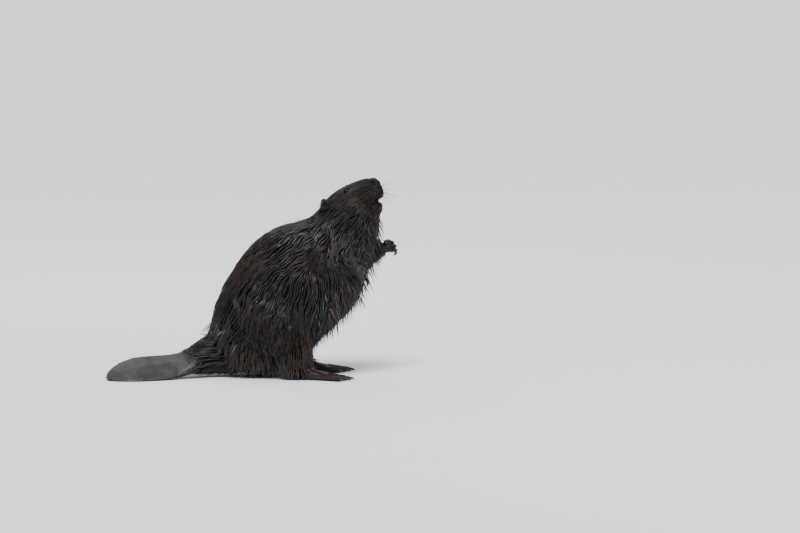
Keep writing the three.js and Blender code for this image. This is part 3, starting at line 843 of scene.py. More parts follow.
def make_skin(settings):
    """The whole skin in one piece, under the coat, and what the coat needs to know of it."""
    tree, kinds = solids_tree()
    mesh = joined_flesh(0.6 * MM, settings.voxel)
    co = corners(mesh)
    kind = kinds_at(co, tree, kinds)
    soft = among(kind, "ear", "forepaw", "hind_foot")
    soft = np.where(soft, 0.25, 1.0)
    soft = np.where(among(kind, "head", "lower_jaw"), 0.6, soft)
    soft = np.where(in_mouth(co) < 2.2, 0.2, soft)
    soft = spread(soft[:, None], edges_of(mesh), 6)[:, 0]
    obj = weighted(mesh, "soft", soft)
    evened = obj.modifiers.new("even", "SMOOTH")
    evened.factor, evened.iterations, evened.vertex_group = 0.5, settings.smoothing, "soft"
    mesh = applied(obj)
    # Keep the small squares only on the face, ears, paws and feet.
    fine = among(kind, *SHORT_HAIR)
    obj = weighted(mesh, "free", spread(np.where(fine, 0.06, 1.0)[:, None], edges_of(mesh), 4)[:, 0])
    thinned = obj.modifiers.new("thin", "DECIMATE")
    thinned.ratio = settings.keep
    thinned.vertex_group = "free"
    thinned.vertex_group_factor = 2.0
    mesh = applied(obj)
    # Lower the skin under the coat.
    co, normal, edges = corners(mesh), normals_of(mesh), edges_of(mesh)
    kind = kinds_at(co, tree, kinds)
    depth = np.array([COAT[k][DEPTH] for k in KINDS])[kind] * MM
    for side in SIDES:
        depth = np.where(away_from(co, eye_axes(side)[0]) < 14 * MM, 0.9 * MM, depth)
    depth = np.where(away_from(co, NOSE) < 34 * MM, 0.7 * MM, depth)
    depth = spread(depth[:, None], edges, 10)[:, 0] + 0.4 * MM
    bare = among(kind, *BARE, "ear")
    depth = np.where(bare, np.minimum(depth, 1.2 * MM), depth)
    set_corners(mesh, co - normal * depth[:, None])
    # Face details need smaller faces.
    bm = bmesh.new()
    bm.from_mesh(mesh)
    for side in SIDES:
        refine(bm, eye_axes(side)[0], 13 * MM, 2)
        refine(bm, nostril(side), 9 * MM, 1)
    for y in (-1, 0, 1):
        refine(bm, NOSE_PAD + Vector((6 * MM, 12 * MM * y, -8 * MM)), 20 * MM, 1)
    bmesh.ops.triangulate(bm, faces=bm.faces)
    bm.to_mesh(mesh)
    bm.free()
    co, normal = corners(mesh), normals_of(mesh)
    sculpt_face(co, normal)
    sculpt_folds(co, normal)
    kind = kinds_at(co, tree, kinds)
    sculpt_tail(co, normal, kind)
    sculpt_paws(co, normal, kind)
    for side, y in SIDES.items():
        sculpt_eye(co, side, eye_radius("right"), settings)
        ahead = Vector((0.75, -0.35 * y, 0.5)).normalized()
        out = Vector((0.05, 0.85 * y, 0.5)).normalized()
        across = out.cross(ahead).normalized()
        surface = tree.find_nearest(nostril(side))[0]
        dent(co, surface, (6 * MM, 3.2 * MM, 9 * MM), (ahead, across, out), 4.5 * MM, 0.8 * MM)
    co[:, 2] = np.maximum(co[:, 2], 0.2 * MM)
    set_corners(mesh, co)
    return mesh, tree, kinds


# ---- what a user may change ----
def colour_setting(name, description, default):
    return FloatVectorProperty(
        name=name, description=description, default=default, subtype="COLOR", size=3, min=0, max=1
    )


def length_setting(name, description, default, **limits):
    return FloatProperty(name=name, description=description, default=default, unit="LENGTH", **limits)


def angle_setting(name, description, degrees):
    return FloatProperty(name=name, description=description, default=math.radians(degrees), unit="ROTATION")


class BeaverSkinSettings(bpy.types.PropertyGroup):
    voxel: length_setting(
        "Fineness", "Size of the squares the skin is first made of", 1.6 * MM, min=1.0 * MM, max=6.0 * MM
    )
    smoothing: IntProperty(
        name="Smoothing", description="How many times the skin is evened out", default=32, min=0, max=200,
    )
    keep: FloatProperty(
        name="Faces kept", description="Share of the faces kept after thinning",
        default=0.155, min=0.05, max=1.0, subtype="FACTOR",
    )
    eye_length: length_setting("Eye length", "Length of the slit between the lids", 11.0 * MM)
    eye_open: length_setting("Eye opening", "Height of the slit between the lids", 4.6 * MM)


class BeaverColours(bpy.types.PropertyGroup):
    dark: colour_setting("Dark fur", "Wet fur where it is darkest", (0.0084, 0.0081, 0.0096))
    brown: colour_setting("Brown fur", "Wet fur where the underfur shows", (0.050, 0.0220, 0.0130))
    foot: colour_setting("Bare skin", "Skin of the feet and forepaws", (0.016, 0.0095, 0.0085))
    paw: colour_setting("Paw skin", "Skin of the forepaws, darker than the feet", (0.0045, 0.0032, 0.0032))
    tail: colour_setting("Tail skin", "Skin between the scales of the tail", (0.008, 0.0078, 0.0085))
    scale: colour_setting("Tail scales", "Scales of the tail", (0.0285, 0.0280, 0.0305))
    nose: colour_setting("Nose skin", "Bare skin of the nose", (0.0045, 0.0038, 0.0038))
    # Painted shade: near-black in the mouth and in the hollows of the ears.
    mouth: colour_setting("Mouth and ear hollow shade", "Inside of the mouth", (0.0030, 0.0015, 0.0014))


class BeaverCoatSettings(bpy.types.PropertyGroup):
    wave_length: length_setting("Wave length", "Length of one wave of the wet locks", 42 * MM)
    wave_angle: angle_setting("Wave", "How far the locks swing from side to side", 19)
    stray: angle_setting("Stray", "How far single clumps point away from the lie of the coat", 3)
    seed: IntProperty(name="Seed", description="Start of the random draws", default=11)


class BeaverTailSettings(bpy.types.PropertyGroup):
    pitch: length_setting("Scale pitch", "From one scale of the tail to the next", 5.6 * MM)
    thickness: length_setting("Scale thickness", "Height of a scale over the skin", 0.9 * MM)


class BeaverStageSettings(bpy.types.PropertyGroup):
    distance: length_setting("Camera distance", "From the camera to the middle of the view", 12.0)
    height: angle_setting("Camera pitch", "How far the camera looks down", 6)
    view_width: length_setting("View width", "Width of the view at the animal", 2.2)


# ---- the coat ----
class Lie:
    """The finished skin as the coat sees it: a search tree and values on each face."""

    def __init__(self, mesh, fields):
        self.points = corners(mesh)
        self.faces = table_of(mesh.polygons, "vertices", 3, np.int32)
        self.tree = BVHTree.FromPolygons(self.points.tolist(), self.faces.tolist())
        a, b, c = (self.points[self.faces[:, i]] for i in range(3))
        cross = np.cross(b - a, c - a)
        self.area = np.linalg.norm(cross, axis=1) / 2
        self.normal = unit(cross)
        self.values = fields["values"][self.faces].mean(1)
        self.kind = fields["kind"][self.faces[:, 0]]
        self.lie = unit(fields["lie"][self.faces].mean(1))
        self.vertex_normal = normals_of(mesh)

    def drop(self, places):
        """The nearest places on the skin, with their smooth normals and faces."""
        found = [self.tree.find_nearest(p) for p in map(Vector, places)]
        at = np.array([f[0] for f in found])
        face = np.array([f[2] for f in found])
        tri = self.faces[face]
        weight = 1 / (np.linalg.norm(self.points[tri] - at[:, None], axis=2) + 0.2 * MM)
        normal = unit(np.sum(self.vertex_normal[tri] * weight[..., None], 1))
        return at, normal, face

    def roots(self, rng, density):
        """Places spread over the skin, so many to the square metre on each face."""
        total = np.cumsum(self.area * density)
        count = int(total[-1])
        face = np.searchsorted(total, (np.arange(count) + rng.random(count)) * total[-1] / count)
        face = np.minimum(face, len(total) - 1)
        u, v = rng.random((2, count))
        flip = u + v > 1
        u, v = np.where(flip, 1 - u, u), np.where(flip, 1 - v, v)
        a, b, c = (self.points[self.faces[face, i]] for i in range(3))
        return a + (b - a) * u[:, None] + (c - a) * v[:, None], face


def turned(way, axis, angle):
    """way turned about axis."""
    c, s = np.cos(angle)[:, None], np.sin(angle)[:, None]
    return way * c + np.cross(axis, way) * s + axis * np.sum(axis * way, 1, keepdims=True) * (1 - c)


def wavy_way(skin, p, normal, face, settings):
    """The lie of the coat with its waves, which neighbouring rows share."""
    kind = skin.kind[face]
    smooth_hair = among(kind, *SHORT_HAIR)
    sleek = among(kind, "tail_root", "thigh", "upper_arm")
    amount = np.where(smooth_hair, 0.15, np.where(sleek, 0.35, 1.0)) * settings.wave_angle
    along = p @ unit(np.array([-0.72, 0, -0.7]))
    phase = 2 * math.pi * along / settings.wave_length + 3.2 * ripple(p, 0.17, 3) + 1.3 * ripple(p, 0.06, 9)
    amount = amount * np.clip(0.6 + 0.5 * ripple(p, 0.14, 4), 0.1, 1.3)
    angle = amount * np.sin(phase) + 0.22 * ripple(p, 0.12, 5) + 0.14 * ripple(p, 0.045, 6)
    return turned(skin.lie[face], normal, angle)


ROW_STEP = 3.2 * MM
ROW_STEPS = 28  # each way from the seed
ROW_SPARE = 17  # more steps past the end, for the last locks to lie on
NEVER = 10**6  # steps
SEED_STRETCH = 13 * MM  # the length of row for which one seed is sown
ROW_CLEARANCE = 0.82  # how near rows may come, as a share of the space between them


def rows(skin, rng, chosen, settings):
    """Evenly spaced lines over the chosen faces that follow the lie of the coat."""
    spacing = skin.values[:, ROW_GAP] * MM
    density = np.where(chosen, 1 / (spacing * SEED_STRETCH), 0)
    at, face = skin.roots(rng, density)
    halves = []
    for sign in (-1, 1):
        p, normal, f = at, skin.normal[face], face
        half = [(p, normal, f)]
        for _ in range(ROW_STEPS + (ROW_SPARE if sign > 0 else 0)):
            p, normal, f = skin.drop(p + sign * wavy_way(skin, p, normal, f, settings) * ROW_STEP)
            half.append((p, normal, f))
        halves.append(half)
    steps = halves[0][:0:-1] + halves[1]
    line, line_normal, under = (np.stack([s[k] for s in steps], 1) for k in range(3))
    radius = spacing[face] * ROW_CLEARANCE
    cell = radius.min() / 4
    low = line.reshape(-1, 3).min(0) - 8 * MM
    shape = ((line.reshape(-1, 3).max(0) + 8 * MM - low) / cell).astype(int) + 1
    taken = np.zeros(shape, bool)
    index = ((line[:, : 2 * ROW_STEPS + 1] - low) / cell).astype(int)
    growing = chosen[under[:, : 2 * ROW_STEPS + 1]]
    balls = {}
    found = []
    for i in rng.permutation(len(at)):
        here = index[i]
        free = ~taken[here[:, 0], here[:, 1], here[:, 2]] & growing[i]
        if not free[ROW_STEPS]:
            continue
        blocked = np.flatnonzero(~free)
        start = blocked[blocked < ROW_STEPS].max(initial=-1) + 1
        end = blocked[blocked > ROW_STEPS].min(initial=2 * ROW_STEPS + 1) - 1
        if (end - start) * ROW_STEP < 1.2 * spacing[face[i]]:
            continue
        reach = int(round(radius[i] / cell))
        if reach not in balls:
            grid = np.stack(np.meshgrid(*[np.arange(-reach, reach + 1)] * 3), -1).reshape(-1, 3)
            balls[reach] = grid[np.sum(grid**2, 1) <= reach**2]
        marked = np.clip((here[start : end + 1, None] + balls[reach]).reshape(-1, 3), 0, np.array(shape) - 1)
        taken[marked[:, 0], marked[:, 1], marked[:, 2]] = True
        found.append((i, start, end))
    return line, line_normal, under, found


LOCK_RINGS = 6
LOCK_WIDTH = np.array([0.55, 0.95, 1.0, 0.85, 0.55, 0.0])  # from root to tip
SIDES_OF_LOCK = 3
LOCK_PATCH = 0.003  # the side of the square that a lock takes up on the unwrap
UNWRAP_FACES = 9000


def lock_faces(rings):
    """The triangles of one lock and their places in a unit square: a three-sided horn with a closed root."""
    faces, uvs = [], []
    n = SIDES_OF_LOCK
    for i in range(rings - 2):
        for k in range(n):
            a, b = i * n + k, i * n + (k + 1) % n
            u0, u1, v0, v1 = k / n, (k + 1) / n, i / rings, (i + 1) / rings
            faces += [(a, b, b + n), (a, b + n, a + n)]
            uvs += [((u0, v0), (u1, v0), (u1, v1)), ((u0, v0), (u1, v1), (u0, v1))]
    last, tip = (rings - 2) * n, (rings - 1) * n
    for k in range(n):
        faces.append((last + k, last + (k + 1) % n, tip))
        u0, u1, v0, v1 = k / n, (k + 1) / n, (rings - 2) / rings, (rings - 1) / rings
        uvs.append(((u0, v0), (u1, v0), ((u0 + u1) / 2, v1)))
    faces.append((2, 1, 0))
    uvs.append(((0.2, 0.88), (0.5, 0.98), (0.8, 0.88)))
    return np.array(faces), np.array(uvs)


def triangle_mesh(name, points, tris):
    """A mesh of loose arrays of corners and triangles."""
    mesh = bpy.data.meshes.new(name)
    mesh.vertices.add(len(points))
    mesh.vertices.foreach_set("co", points.astype(np.float32).ravel())
    mesh.loops.add(tris.size)
    mesh.loops.foreach_set("vertex_index", tris.astype(np.int32).ravel())
    mesh.polygons.add(len(tris))
    mesh.polygons.foreach_set("loop_start", np.arange(0, tris.size, 3, dtype=np.int32))
    mesh.update(calc_edges=True)
    return mesh


def lock_meshes(name, centre, across, normal, width, tint, uv, material):
    """Solid tapered locks along the given lines, as objects of a bearable size."""
    count, rings, _ = centre.shape
    faces, patch = lock_faces(rings)
    taper = np.interp(np.linspace(0, 1, rings), np.linspace(0, 1, LOCK_RINGS), LOCK_WIDTH)
    half = width[:, None, None] / 2 * taper[None, :, None]
    ring = np.stack([centre - across * half, centre + across * half, centre + normal * half * 1.15], 2)
    points = np.concatenate([ring[:, :-1].reshape(count, -1, 3), centre[:, -1:]], 1)
    per = points.shape[1]
    tip = np.concatenate([np.repeat(np.linspace(0, 1, rings)[:-1], SIDES_OF_LOCK), [1.0]])
    step = MAX_TRIS // len(faces)
    for part, start in enumerate(range(0, count, step)):
        chosen = slice(start, min(start + step, count))
        here = points[chosen].reshape(-1, 3)
        number = len(here) // per
        tris = (faces[None] + per * np.arange(number)[:, None, None]).reshape(-1, 3)
        mesh = triangle_mesh(name, here, tris)
        mesh.shade_smooth()
        put_attribute(mesh, "tint", np.repeat(tint[chosen], per))
        put_attribute(mesh, "tip", np.tile(tip, number))
        layer = mesh.uv_layers.new(name="OFBake")
        patches = uv[chosen][:, None, None] + (patch[None] - 0.5) * LOCK_PATCH
        layer.data.foreach_set("uv", patches.astype(np.float32).ravel())
        obj = to_object(name if part == 0 else f"{name}_{part + 1}", mesh, material)


def underfur(skin):
    """The skin as the short dense fur between the locks sees it."""
    under = copy.copy(skin)
    under.values = skin.values.copy()
    under.values[:, LENGTH:TINT] = UNDERFUR
    under.values[:, STAND] = UNDERFUR_STAND
    return under


def along_rows(table, row, place):
    """The values of a table of rows at fractional places along them."""
    place = np.clip(place, 0, table.shape[1] - 1.001)
    whole = place.astype(int)
    part = (place - whole)[..., None]
    return table[row, whole] * (1 - part) + table[row, whole + 1] * part


HAIR_ABOVE_FLOOR = 1.2 * MM
ROOT_DEPTH = 0.5 * MM  # of a hair in the skin
SHORTEST_LOCK = 4 * MM
CURL_LENGTH = 0.7  # of a lock, as a share of its length elsewhere
# How far locks reach over the edge of bare skin: at the ankle, at the tail (from and to), and elsewhere.
OVER_ANKLE, OVER_TAIL, OVER_EDGE = 9 * MM, (5 * MM, 34 * MM), 1.5 * MM
# How many hairs stray from their lock, and how far their tips and those of the others go.
STRAY_HAIRS, STRAY_TIP, CLOSE_TIP = 0.15, 3.5 * MM, 0.5 * MM


def cross_ways(centre, normal):
    """The ways across a hair and out of the coat, all along it."""
    run = unit(np.gradient(centre, axis=1))
    across = unit(np.cross(normal, run))
    return across, unit(np.cross(run, across))


def draws(settings, name):
    """The random draws of one piece of the coat."""
    return np.random.default_rng(settings.seed + sum(map(ord, name)))


def lock_starts(skin, rng, under, found):
    """Where the locks start: their rows, and how far along them."""
    row, start = [], []
    for i, first, last in found:
        gap = skin.values[under[i, ROW_STEPS], LOCK_GAP] * MM / ROW_STEP
        spots = np.arange(first - rng.random() * gap, last, gap)
        spots = np.clip(spots + rng.uniform(-0.25, 0.25, len(spots)) * gap, first, last)
        row += [i] * len(spots)
        start += list(spots)
    return np.array(row), np.array(start)


def in_curls(at, kind, chance):
    """Which locks lie in the messy curls at the foot of the rump."""
    front = CURLS_FRONT + 14 * ripple(at, 0.05, 15) + chance.normal(0, 9, len(at))
    top = CURLS_TOP + 16 * ripple(at, 0.05, 14) + chance.normal(0, 12, len(at))
    curly = among(kind, "rump") & (at[:, 0] < front * MM)
    return curly & (at[:, 2] > CURLS_LOW * MM) & (at[:, 2] < top * MM)


def coat_region(name, skin, unwrap, settings, chosen, material, rings):
    """The locks that grow in rows on the chosen faces."""
    rng = draws(settings, name)
    line, line_normal, under, found = rows(skin, rng, chosen, settings)
    row, start = lock_starts(skin, rng, under, found)
    root = under[row, np.round(start).astype(int)]
    values, root_normal, kind = skin.values[root], skin.normal[root], skin.kind[root]
    long, hair_width, row_gap = (values[:, [LENGTH, WIDTH, ROW_GAP]] * MM).T
    count = len(row)
    at = along_rows(line, row, start)
    smooth_hair = among(kind, *SHORT_HAIR)
    chance = np.random.default_rng(settings.seed + count)
    curly = in_curls(at, kind, chance)
    length = long * rng.uniform(0.75, 1.25, count)
    length = np.where(curly, length * CURL_LENGTH, length)
    # A lock that grows towards bare skin ends just over its edge.
    step = np.arange(line.shape[1])
    reached = np.where(skin.bare[under[row]] & (step > start[:, None]), step, NEVER).min(1)
    over = np.where(among(kind, "shank"), OVER_ANKLE, OVER_EDGE)
    over = np.where(among(kind, "tail_root"), rng.uniform(*OVER_TAIL, count), over)
    room = np.maximum((reached - start) * ROW_STEP + over, SHORTEST_LOCK)
    length = np.where(skin.bare[root], length, np.minimum(length, room))
    # The middle of a lock follows its row, leans a little, and in the curls swings from side to side.
    s = np.linspace(0, 1, rings)
    places = start[:, None] + s * (length / ROW_STEP)[:, None]
    path = along_rows(line, row[:, None], places)
    normal = unit(along_rows(line_normal, row[:, None], places))
    side = unit(np.cross(normal, np.gradient(path, axis=1)))
    lean = rng.normal(0, settings.stray, count) * np.where(smooth_hair, 3.5, 1)
    lean = lean + np.where(curly, rng.normal(0, 0.5, count), 0)
    path = path + side * (lean * length)[:, None, None] * (s[:, None] ** 1.5)
    curl = np.where(curly, chance.uniform(1.0, 4.5, count) * MM, 0)[:, None]
    swing = curl * np.sin(9 * s + rng.uniform(0, 6, (count, 1)))
    path = path + side * swing[..., None]
    # Hairs of a lock start side by side and end together, the middle ones on top.
    each = np.maximum(1, np.round(values[:, HAIRS] + rng.uniform(-0.8, 0.8, count)).astype(int))
    owner = np.repeat(np.arange(count), each)
    total = len(owner)
    order = np.arange(total) - np.repeat(np.cumsum(each) - each, each)
    offset = (order + 0.5) / each[owner] * 2 - 1 + rng.uniform(-0.25, 0.25, total)
    reach = row_gap[owner] * np.where(each == 1, 0.1, np.where(smooth_hair, 0.42, 0.22))[owner]
    across_path = (offset * reach)[:, None] * (1 - 0.85 * s**1.2)
    loose = np.where(rng.random(total) < STRAY_HAIRS, STRAY_TIP, CLOSE_TIP)
    loose = loose * np.where(smooth_hair[owner], 0.4, 1)
    across_path += (rng.normal(0, 1, total) * loose)[:, None] * s**2
    centre = path[owner] + side[owner] * across_path[..., None]
    slip = rng.uniform(-0.12, 0.12, total) * length[owner]
    centre += unit(np.gradient(path, axis=1))[owner] * (slip[:, None] * (1 - 0.4 * s))[..., None]
    # They rise from the skin to the height of the coat, and hang where the skin faces forwards or down.
    stand = values[:, STAND] * values[:, DEPTH] * MM * rng.uniform(0.6, 1.3, count)
    stand = np.where(curly, stand * chance.uniform(0.8, 1.6, count), stand)
    front = smoothstep(0.45, 0.9, root_normal[:, 0]) * ~smooth_hair
    stand = (stand * (1 + 0.5 * front))[owner] * rng.uniform(0.85, 1.15, total)
    ridge = (1 - np.minimum(offset**2, 1)) * hair_width[owner] * 1.9 * (each > 1)[owner]
    height = stand[:, None] * (0.1 + 1.1 * s - 0.2 * s**2) - ROOT_DEPTH
    height += ridge[:, None] * np.sin(math.pi * np.clip(s * 1.1, 0, 1))
    centre = centre + normal[owner] * height[..., None]
    hanging = np.maximum(smoothstep(0.15, -0.5, root_normal[:, 2]), 0.7 * front)
    drip = (hanging * long * rng.uniform(0.05, 0.25, count))[owner]
    centre[..., 2] -= drip[:, None] * s**2
    centre[..., 2] = np.maximum(centre[..., 2], HAIR_ABOVE_FLOOR)
    across, lift = cross_ways(centre, normal[owner])
    width = hair_width[owner] * rng.uniform(0.75, 1.2, total)
    tint = values[:, TINT] + rng.normal(0, 0.08, count) * np.where(smooth_hair, 2, 1)
    tint = tint + 0.10 * ripple(at, 0.11, 8)
    tint = tint[owner] + rng.normal(0, 0.05, total)
    lock_meshes(name, centre, across, lift, width, np.clip(tint, 0, 1), unwrap(at)[owner], material)


def fringe(name, skin, unwrap, settings, weight, material, hairs, thickness, reach):
    """Wet tufts that stand off the coat and hang from it, so many to the square decimetre on each face."""
    rng = draws(settings, name)
    at, face = skin.roots(rng, weight * 100)
    at = at + skin.normal[face] * 2 * MM
    values, normal, lie = skin.values[face], skin.normal[face], skin.lie[face]
    count = len(at)
    length = values[:, LENGTH] * MM * rng.uniform(0.45, 0.85, count) * reach
    down = np.array([0, 0, -1.0])
    out = normal * rng.uniform(0.25, 0.75, (count, 1)) * reach**2
    way = unit(lie * 0.8 + out + rng.normal(0, 0.18, (count, 3)))
    s = np.linspace(0, 1, 6)[None, :, None]
    bow = np.cross(normal, lie) * rng.normal(0, 0.22, (count, 1))
    path = at[:, None] + (way[:, None] * s + (down * 0.35 + bow)[:, None] * s**2) * length[:, None, None]
    each = rng.integers(*hairs, count)
    owner = np.repeat(np.arange(count), each)
    total = len(owner)
    side = unit(np.cross(normal, way))
    apart = rng.uniform(-1, 1, (total, 1, 1)) * 3.2 * MM * side[owner][:, None]
    apart = apart + rng.uniform(-0.6, 0.6, (total, 1, 1)) * 2 * MM * normal[owner][:, None]
    centre = path[owner] + apart * (1 - 0.9 * s**0.8)
    centre = centre - (way * (rng.uniform(0, 0.2, count) * length)[:, None])[owner][:, None] * s
    centre[..., 2] = np.maximum(centre[..., 2], HAIR_ABOVE_FLOOR)
    across, lift = cross_ways(centre, normal[owner][:, None])
    width = np.clip(length[owner] * 0.045, 0.6 * MM, 1.3 * MM) * thickness * rng.uniform(0.8, 1.1, total)
    tint = np.clip(values[owner, TINT] + 0.08 + rng.normal(0, 0.1, total), 0, 1)
    lock_meshes(name, centre, across, lift, width, tint, unwrap(at)[owner], material)


FRINGE_DENSITY, POINTS_DENSITY = 80, 30  # tufts to the square decimetre where the coat is ragged


def tufts(skin, centres, hairless, trunk):
    """Both sorts of wet tufts: piece, how many to the square decimetre, hairs, thickness and length."""
    kind = skin.kind
    front = smoothstep(0.2, 0.75, skin.normal[:, 0]) + smoothstep(0.1, 0.6, -skin.normal[:, 2])
    ragged = np.where(trunk | among(kind, "neck", "upper_arm", "forearm"), np.minimum(front, 1), 0)
    ragged = np.where(among(kind, "lower_jaw") & ~hairless, 0.8, ragged)
    ragged = np.where(among(kind, "shank") & (centres[:, 2] > 12 * MM), 0.9, ragged)
    rear = among(kind, "rump") & (skin.normal[:, 0] < -0.5)
    low, high = (smoothstep(a * MM, b * MM, centres[:, 2]) for a, b in (REAR_TUFTS_LOW, REAR_TUFTS_TOP))
    ragged = np.maximum(ragged, REAR_TUFTS * rear * low * (1 - high))
    points = 0.25 * ragged * (trunk | among(kind, "neck")) * ((front > 0.8) | rear)
    outer = (skin.normal[:, 0] > 0.4) | (skin.normal[:, 2] < -0.4)
    for x, z, size, amount in RAGGED_SPOTS:
        points = np.maximum(points, amount * patch_on(centres, x, z, size) * outer)
    return (
        ("coat_fringe", ragged * FRINGE_DENSITY, (3, 6), 1.0, 1.0),
        ("coat_points", points * ~skin.bare * POINTS_DENSITY, (8, 13), 1.4, 1.3),
    )


def unwrapping(mesh):
    """A function from places on the skin to places on an unwrap of the skin's own shape."""
    obj = working_object(mesh.copy())
    thinned = obj.modifiers.new("thin", "DECIMATE")
    thinned.ratio = min(1, UNWRAP_FACES / len(mesh.polygons))
    rough = working_object(applied(obj))
    bpy.context.view_layer.objects.active = rough
    rough.select_set(True)
    bpy.ops.object.mode_set(mode="EDIT")
    bpy.ops.mesh.select_all(action="SELECT")
    bpy.ops.uv.smart_project(angle_limit=math.radians(66), island_margin=0.004)
    bpy.ops.object.mode_set(mode="OBJECT")
    flat = rough.data
    points = corners(flat)
    flat.calc_loop_triangles()
    tris = np.array([t.vertices[:] for t in flat.loop_triangles])
    loops = np.array([t.loops[:] for t in flat.loop_triangles])
    uv = table_of(flat.uv_layers.active.data, "uv", 2)
    tree = BVHTree.FromPolygons(points.tolist(), tris.tolist())
    bpy.data.objects.remove(rough)

    def places(p):
        found = [tree.find_nearest(q) for q in map(Vector, p)]
        at = np.array([f[0] for f in found])
        face = np.array([f[2] for f in found])
        a, b, c = (points[tris[face, i]] for i in range(3))
        whole = np.cross(b - a, c - a)
        area = np.maximum(np.sum(whole * whole, 1), 1e-18)
        wa = np.sum(np.cross(b - at, c - at) * whole, 1) / area
        wb = np.sum(np.cross(c - at, a - at) * whole, 1) / area
        w = np.stack([wa, wb, 1 - wa - wb], 1)
        return np.sum(uv[loops[face]] * w[..., None], 1)

    return places


def whisker(bm, root, way, length, radius, rng):
    """One thin tapering bristle that bends a little under its weight."""
    turn = way.to_track_quat("Z", "Y").to_matrix().to_4x4()
    start = root - way * 1.5 * MM
    ring = bmesh.ops.create_circle(
        bm, cap_ends=True, segments=5, radius=radius, matrix=Matrix.Translation(start) @ turn
    )["verts"]
    bend = Vector(rng.normal(0, 0.03, 3)) + Vector((0, 0, -0.025))
    faces = list({f for v in ring for f in v.link_faces})
    steps = 7
    for i in range(steps):
        moved = bmesh.ops.extrude_face_region(bm, geom=faces)["geom"]
        bmesh.ops.delete(bm, geom=faces, context="FACES_ONLY")
        verts = [g for g in moved if isinstance(g, bmesh.types.BMVert)]
        faces = [g for g in moved if isinstance(g, bmesh.types.BMFace)]
        step = (way + bend * (i + 0.5)).normalized() * length / steps
        bmesh.ops.translate(bm, verts=verts, vec=step)
        centre = sum((v.co for v in verts), Vector()) / len(verts)
        bmesh.ops.scale(bm, verts=verts, vec=(0.82,) * 3, space=Matrix.Translation(-centre))
    bmesh.ops.recalc_face_normals(bm, faces=bm.faces)


def scale_shape(settings):
    """The corners and triangles of one six-sided domed scale with a closed back, for a radius of 1."""
    bm = bmesh.new()
    bmesh.ops.create_circle(bm, cap_ends=True, segments=6, radius=1)
    face = bm.faces[:][0]
    if face.normal.z < 0:
        bmesh.ops.reverse_faces(bm, faces=[face])
    top = bmesh.ops.extrude_face_region(bm, geom=[face])["geom"]
    thick = settings.thickness / settings.pitch * 1.8
    raised = [g for g in top if isinstance(g, bmesh.types.BMVert)]
    bmesh.ops.translate(bm, verts=raised, vec=(0, 0, thick * 0.6))
    lid = next(g for g in top if isinstance(g, bmesh.types.BMFace))
    bmesh.ops.inset_region(bm, faces=[lid], thickness=0.22, depth=0)
    bmesh.ops.translate(bm, verts=lid.verts[:], vec=(0.08, 0, thick * 0.25))
    for v in bm.verts:
        v.co.z += v.co.x * 0.1 - 0.3 * thick
    bmesh.ops.recalc_face_normals(bm, faces=bm.faces)
    bmesh.ops.triangulate(bm, faces=bm.faces)
    bm.verts.index_update()
    points = np.array([v.co[:] for v in bm.verts])
    faces = np.array([[v.index for v in f.verts] for f in bm.faces])
    bm.free()
    return points, faces


def joined_copies(name, points, faces, places):
    """One mesh of many copies of a small shape, each at its own place."""
    count = len(places)
    moved = np.einsum("nij,pj->npi", places[:, :3, :3], points) + places[:, None, :3, 3]
    tris = (faces[None] + len(points) * np.arange(count)[:, None, None]).reshape(-1, 3)
    return triangle_mesh(name, moved.reshape(-1, 3), tris)


SHARED = {}
WHISKER_SEED, WHISKER_ROWS, WHISKERS_IN_ROW = 5, 4, 4
SCALE_SEED = 7
NAIL_SIZE = 1.12  # against the solid claw
# An incisor from front to back, the gap beside it, how much of it is in the gum, and how far the back of
# its cutting edge is worn off, forwards and along the tooth.
TOOTH_DEPTH, TOOTH_GAP, TOOTH_ROOT, TOOTH_WEAR = 4.2 * MM, 0.3 * MM, 8 * MM, (1.6 * MM, 3 * MM)


# ---- operators ----
class BEAVER_OT_skin(bpy.types.Operator):
    """Makes the whole skin in one piece under the coat"""

    bl_idname = "beaver.skin"
    bl_label = "Skin"

    def execute(self, context):
        scene = context.scene
        fur_colour_group()
        grain_group()
        mesh, tree, kinds = make_skin(scene.beaver_skin)
        co, normal, edges = corners(mesh), normals_of(mesh), edges_of(mesh)
        fields = skin_fields(co, normal, edges, tree, kinds)
        put_attribute(mesh, "tint", fields["values"][:, TINT])
        for mask in ("bare", "scaly", "paw"):
            put_attribute(mesh, mask, fields[mask])
        nose = 1 - smoothstep(0.94, 1.08, in_nose_pad(co))
        for side in SIDES:
            inside = away_from(co, tree.find_nearest(nostril(side))[0])
            nose = np.maximum(nose, 1 - smoothstep(4 * MM, 6 * MM, inside))
        put_attribute(mesh, "nose", nose)
        # Painted shade: the mask paints the inside of the mouth and the hollows of the ears near-black.
        put_attribute(mesh, "mouth", 1 - smoothstep(0.85, 1.1, np.minimum(in_mouth(co), in_ears(co))))
        mesh.shade_smooth()
        skin = to_object("skin", mesh, skin_material(scene.beaver_colours))
        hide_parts(*FLESH_NODES)
        SHARED["lie"] = Lie(mesh, fields)
        SHARED["mesh"] = mesh
        return {"FINISHED"}


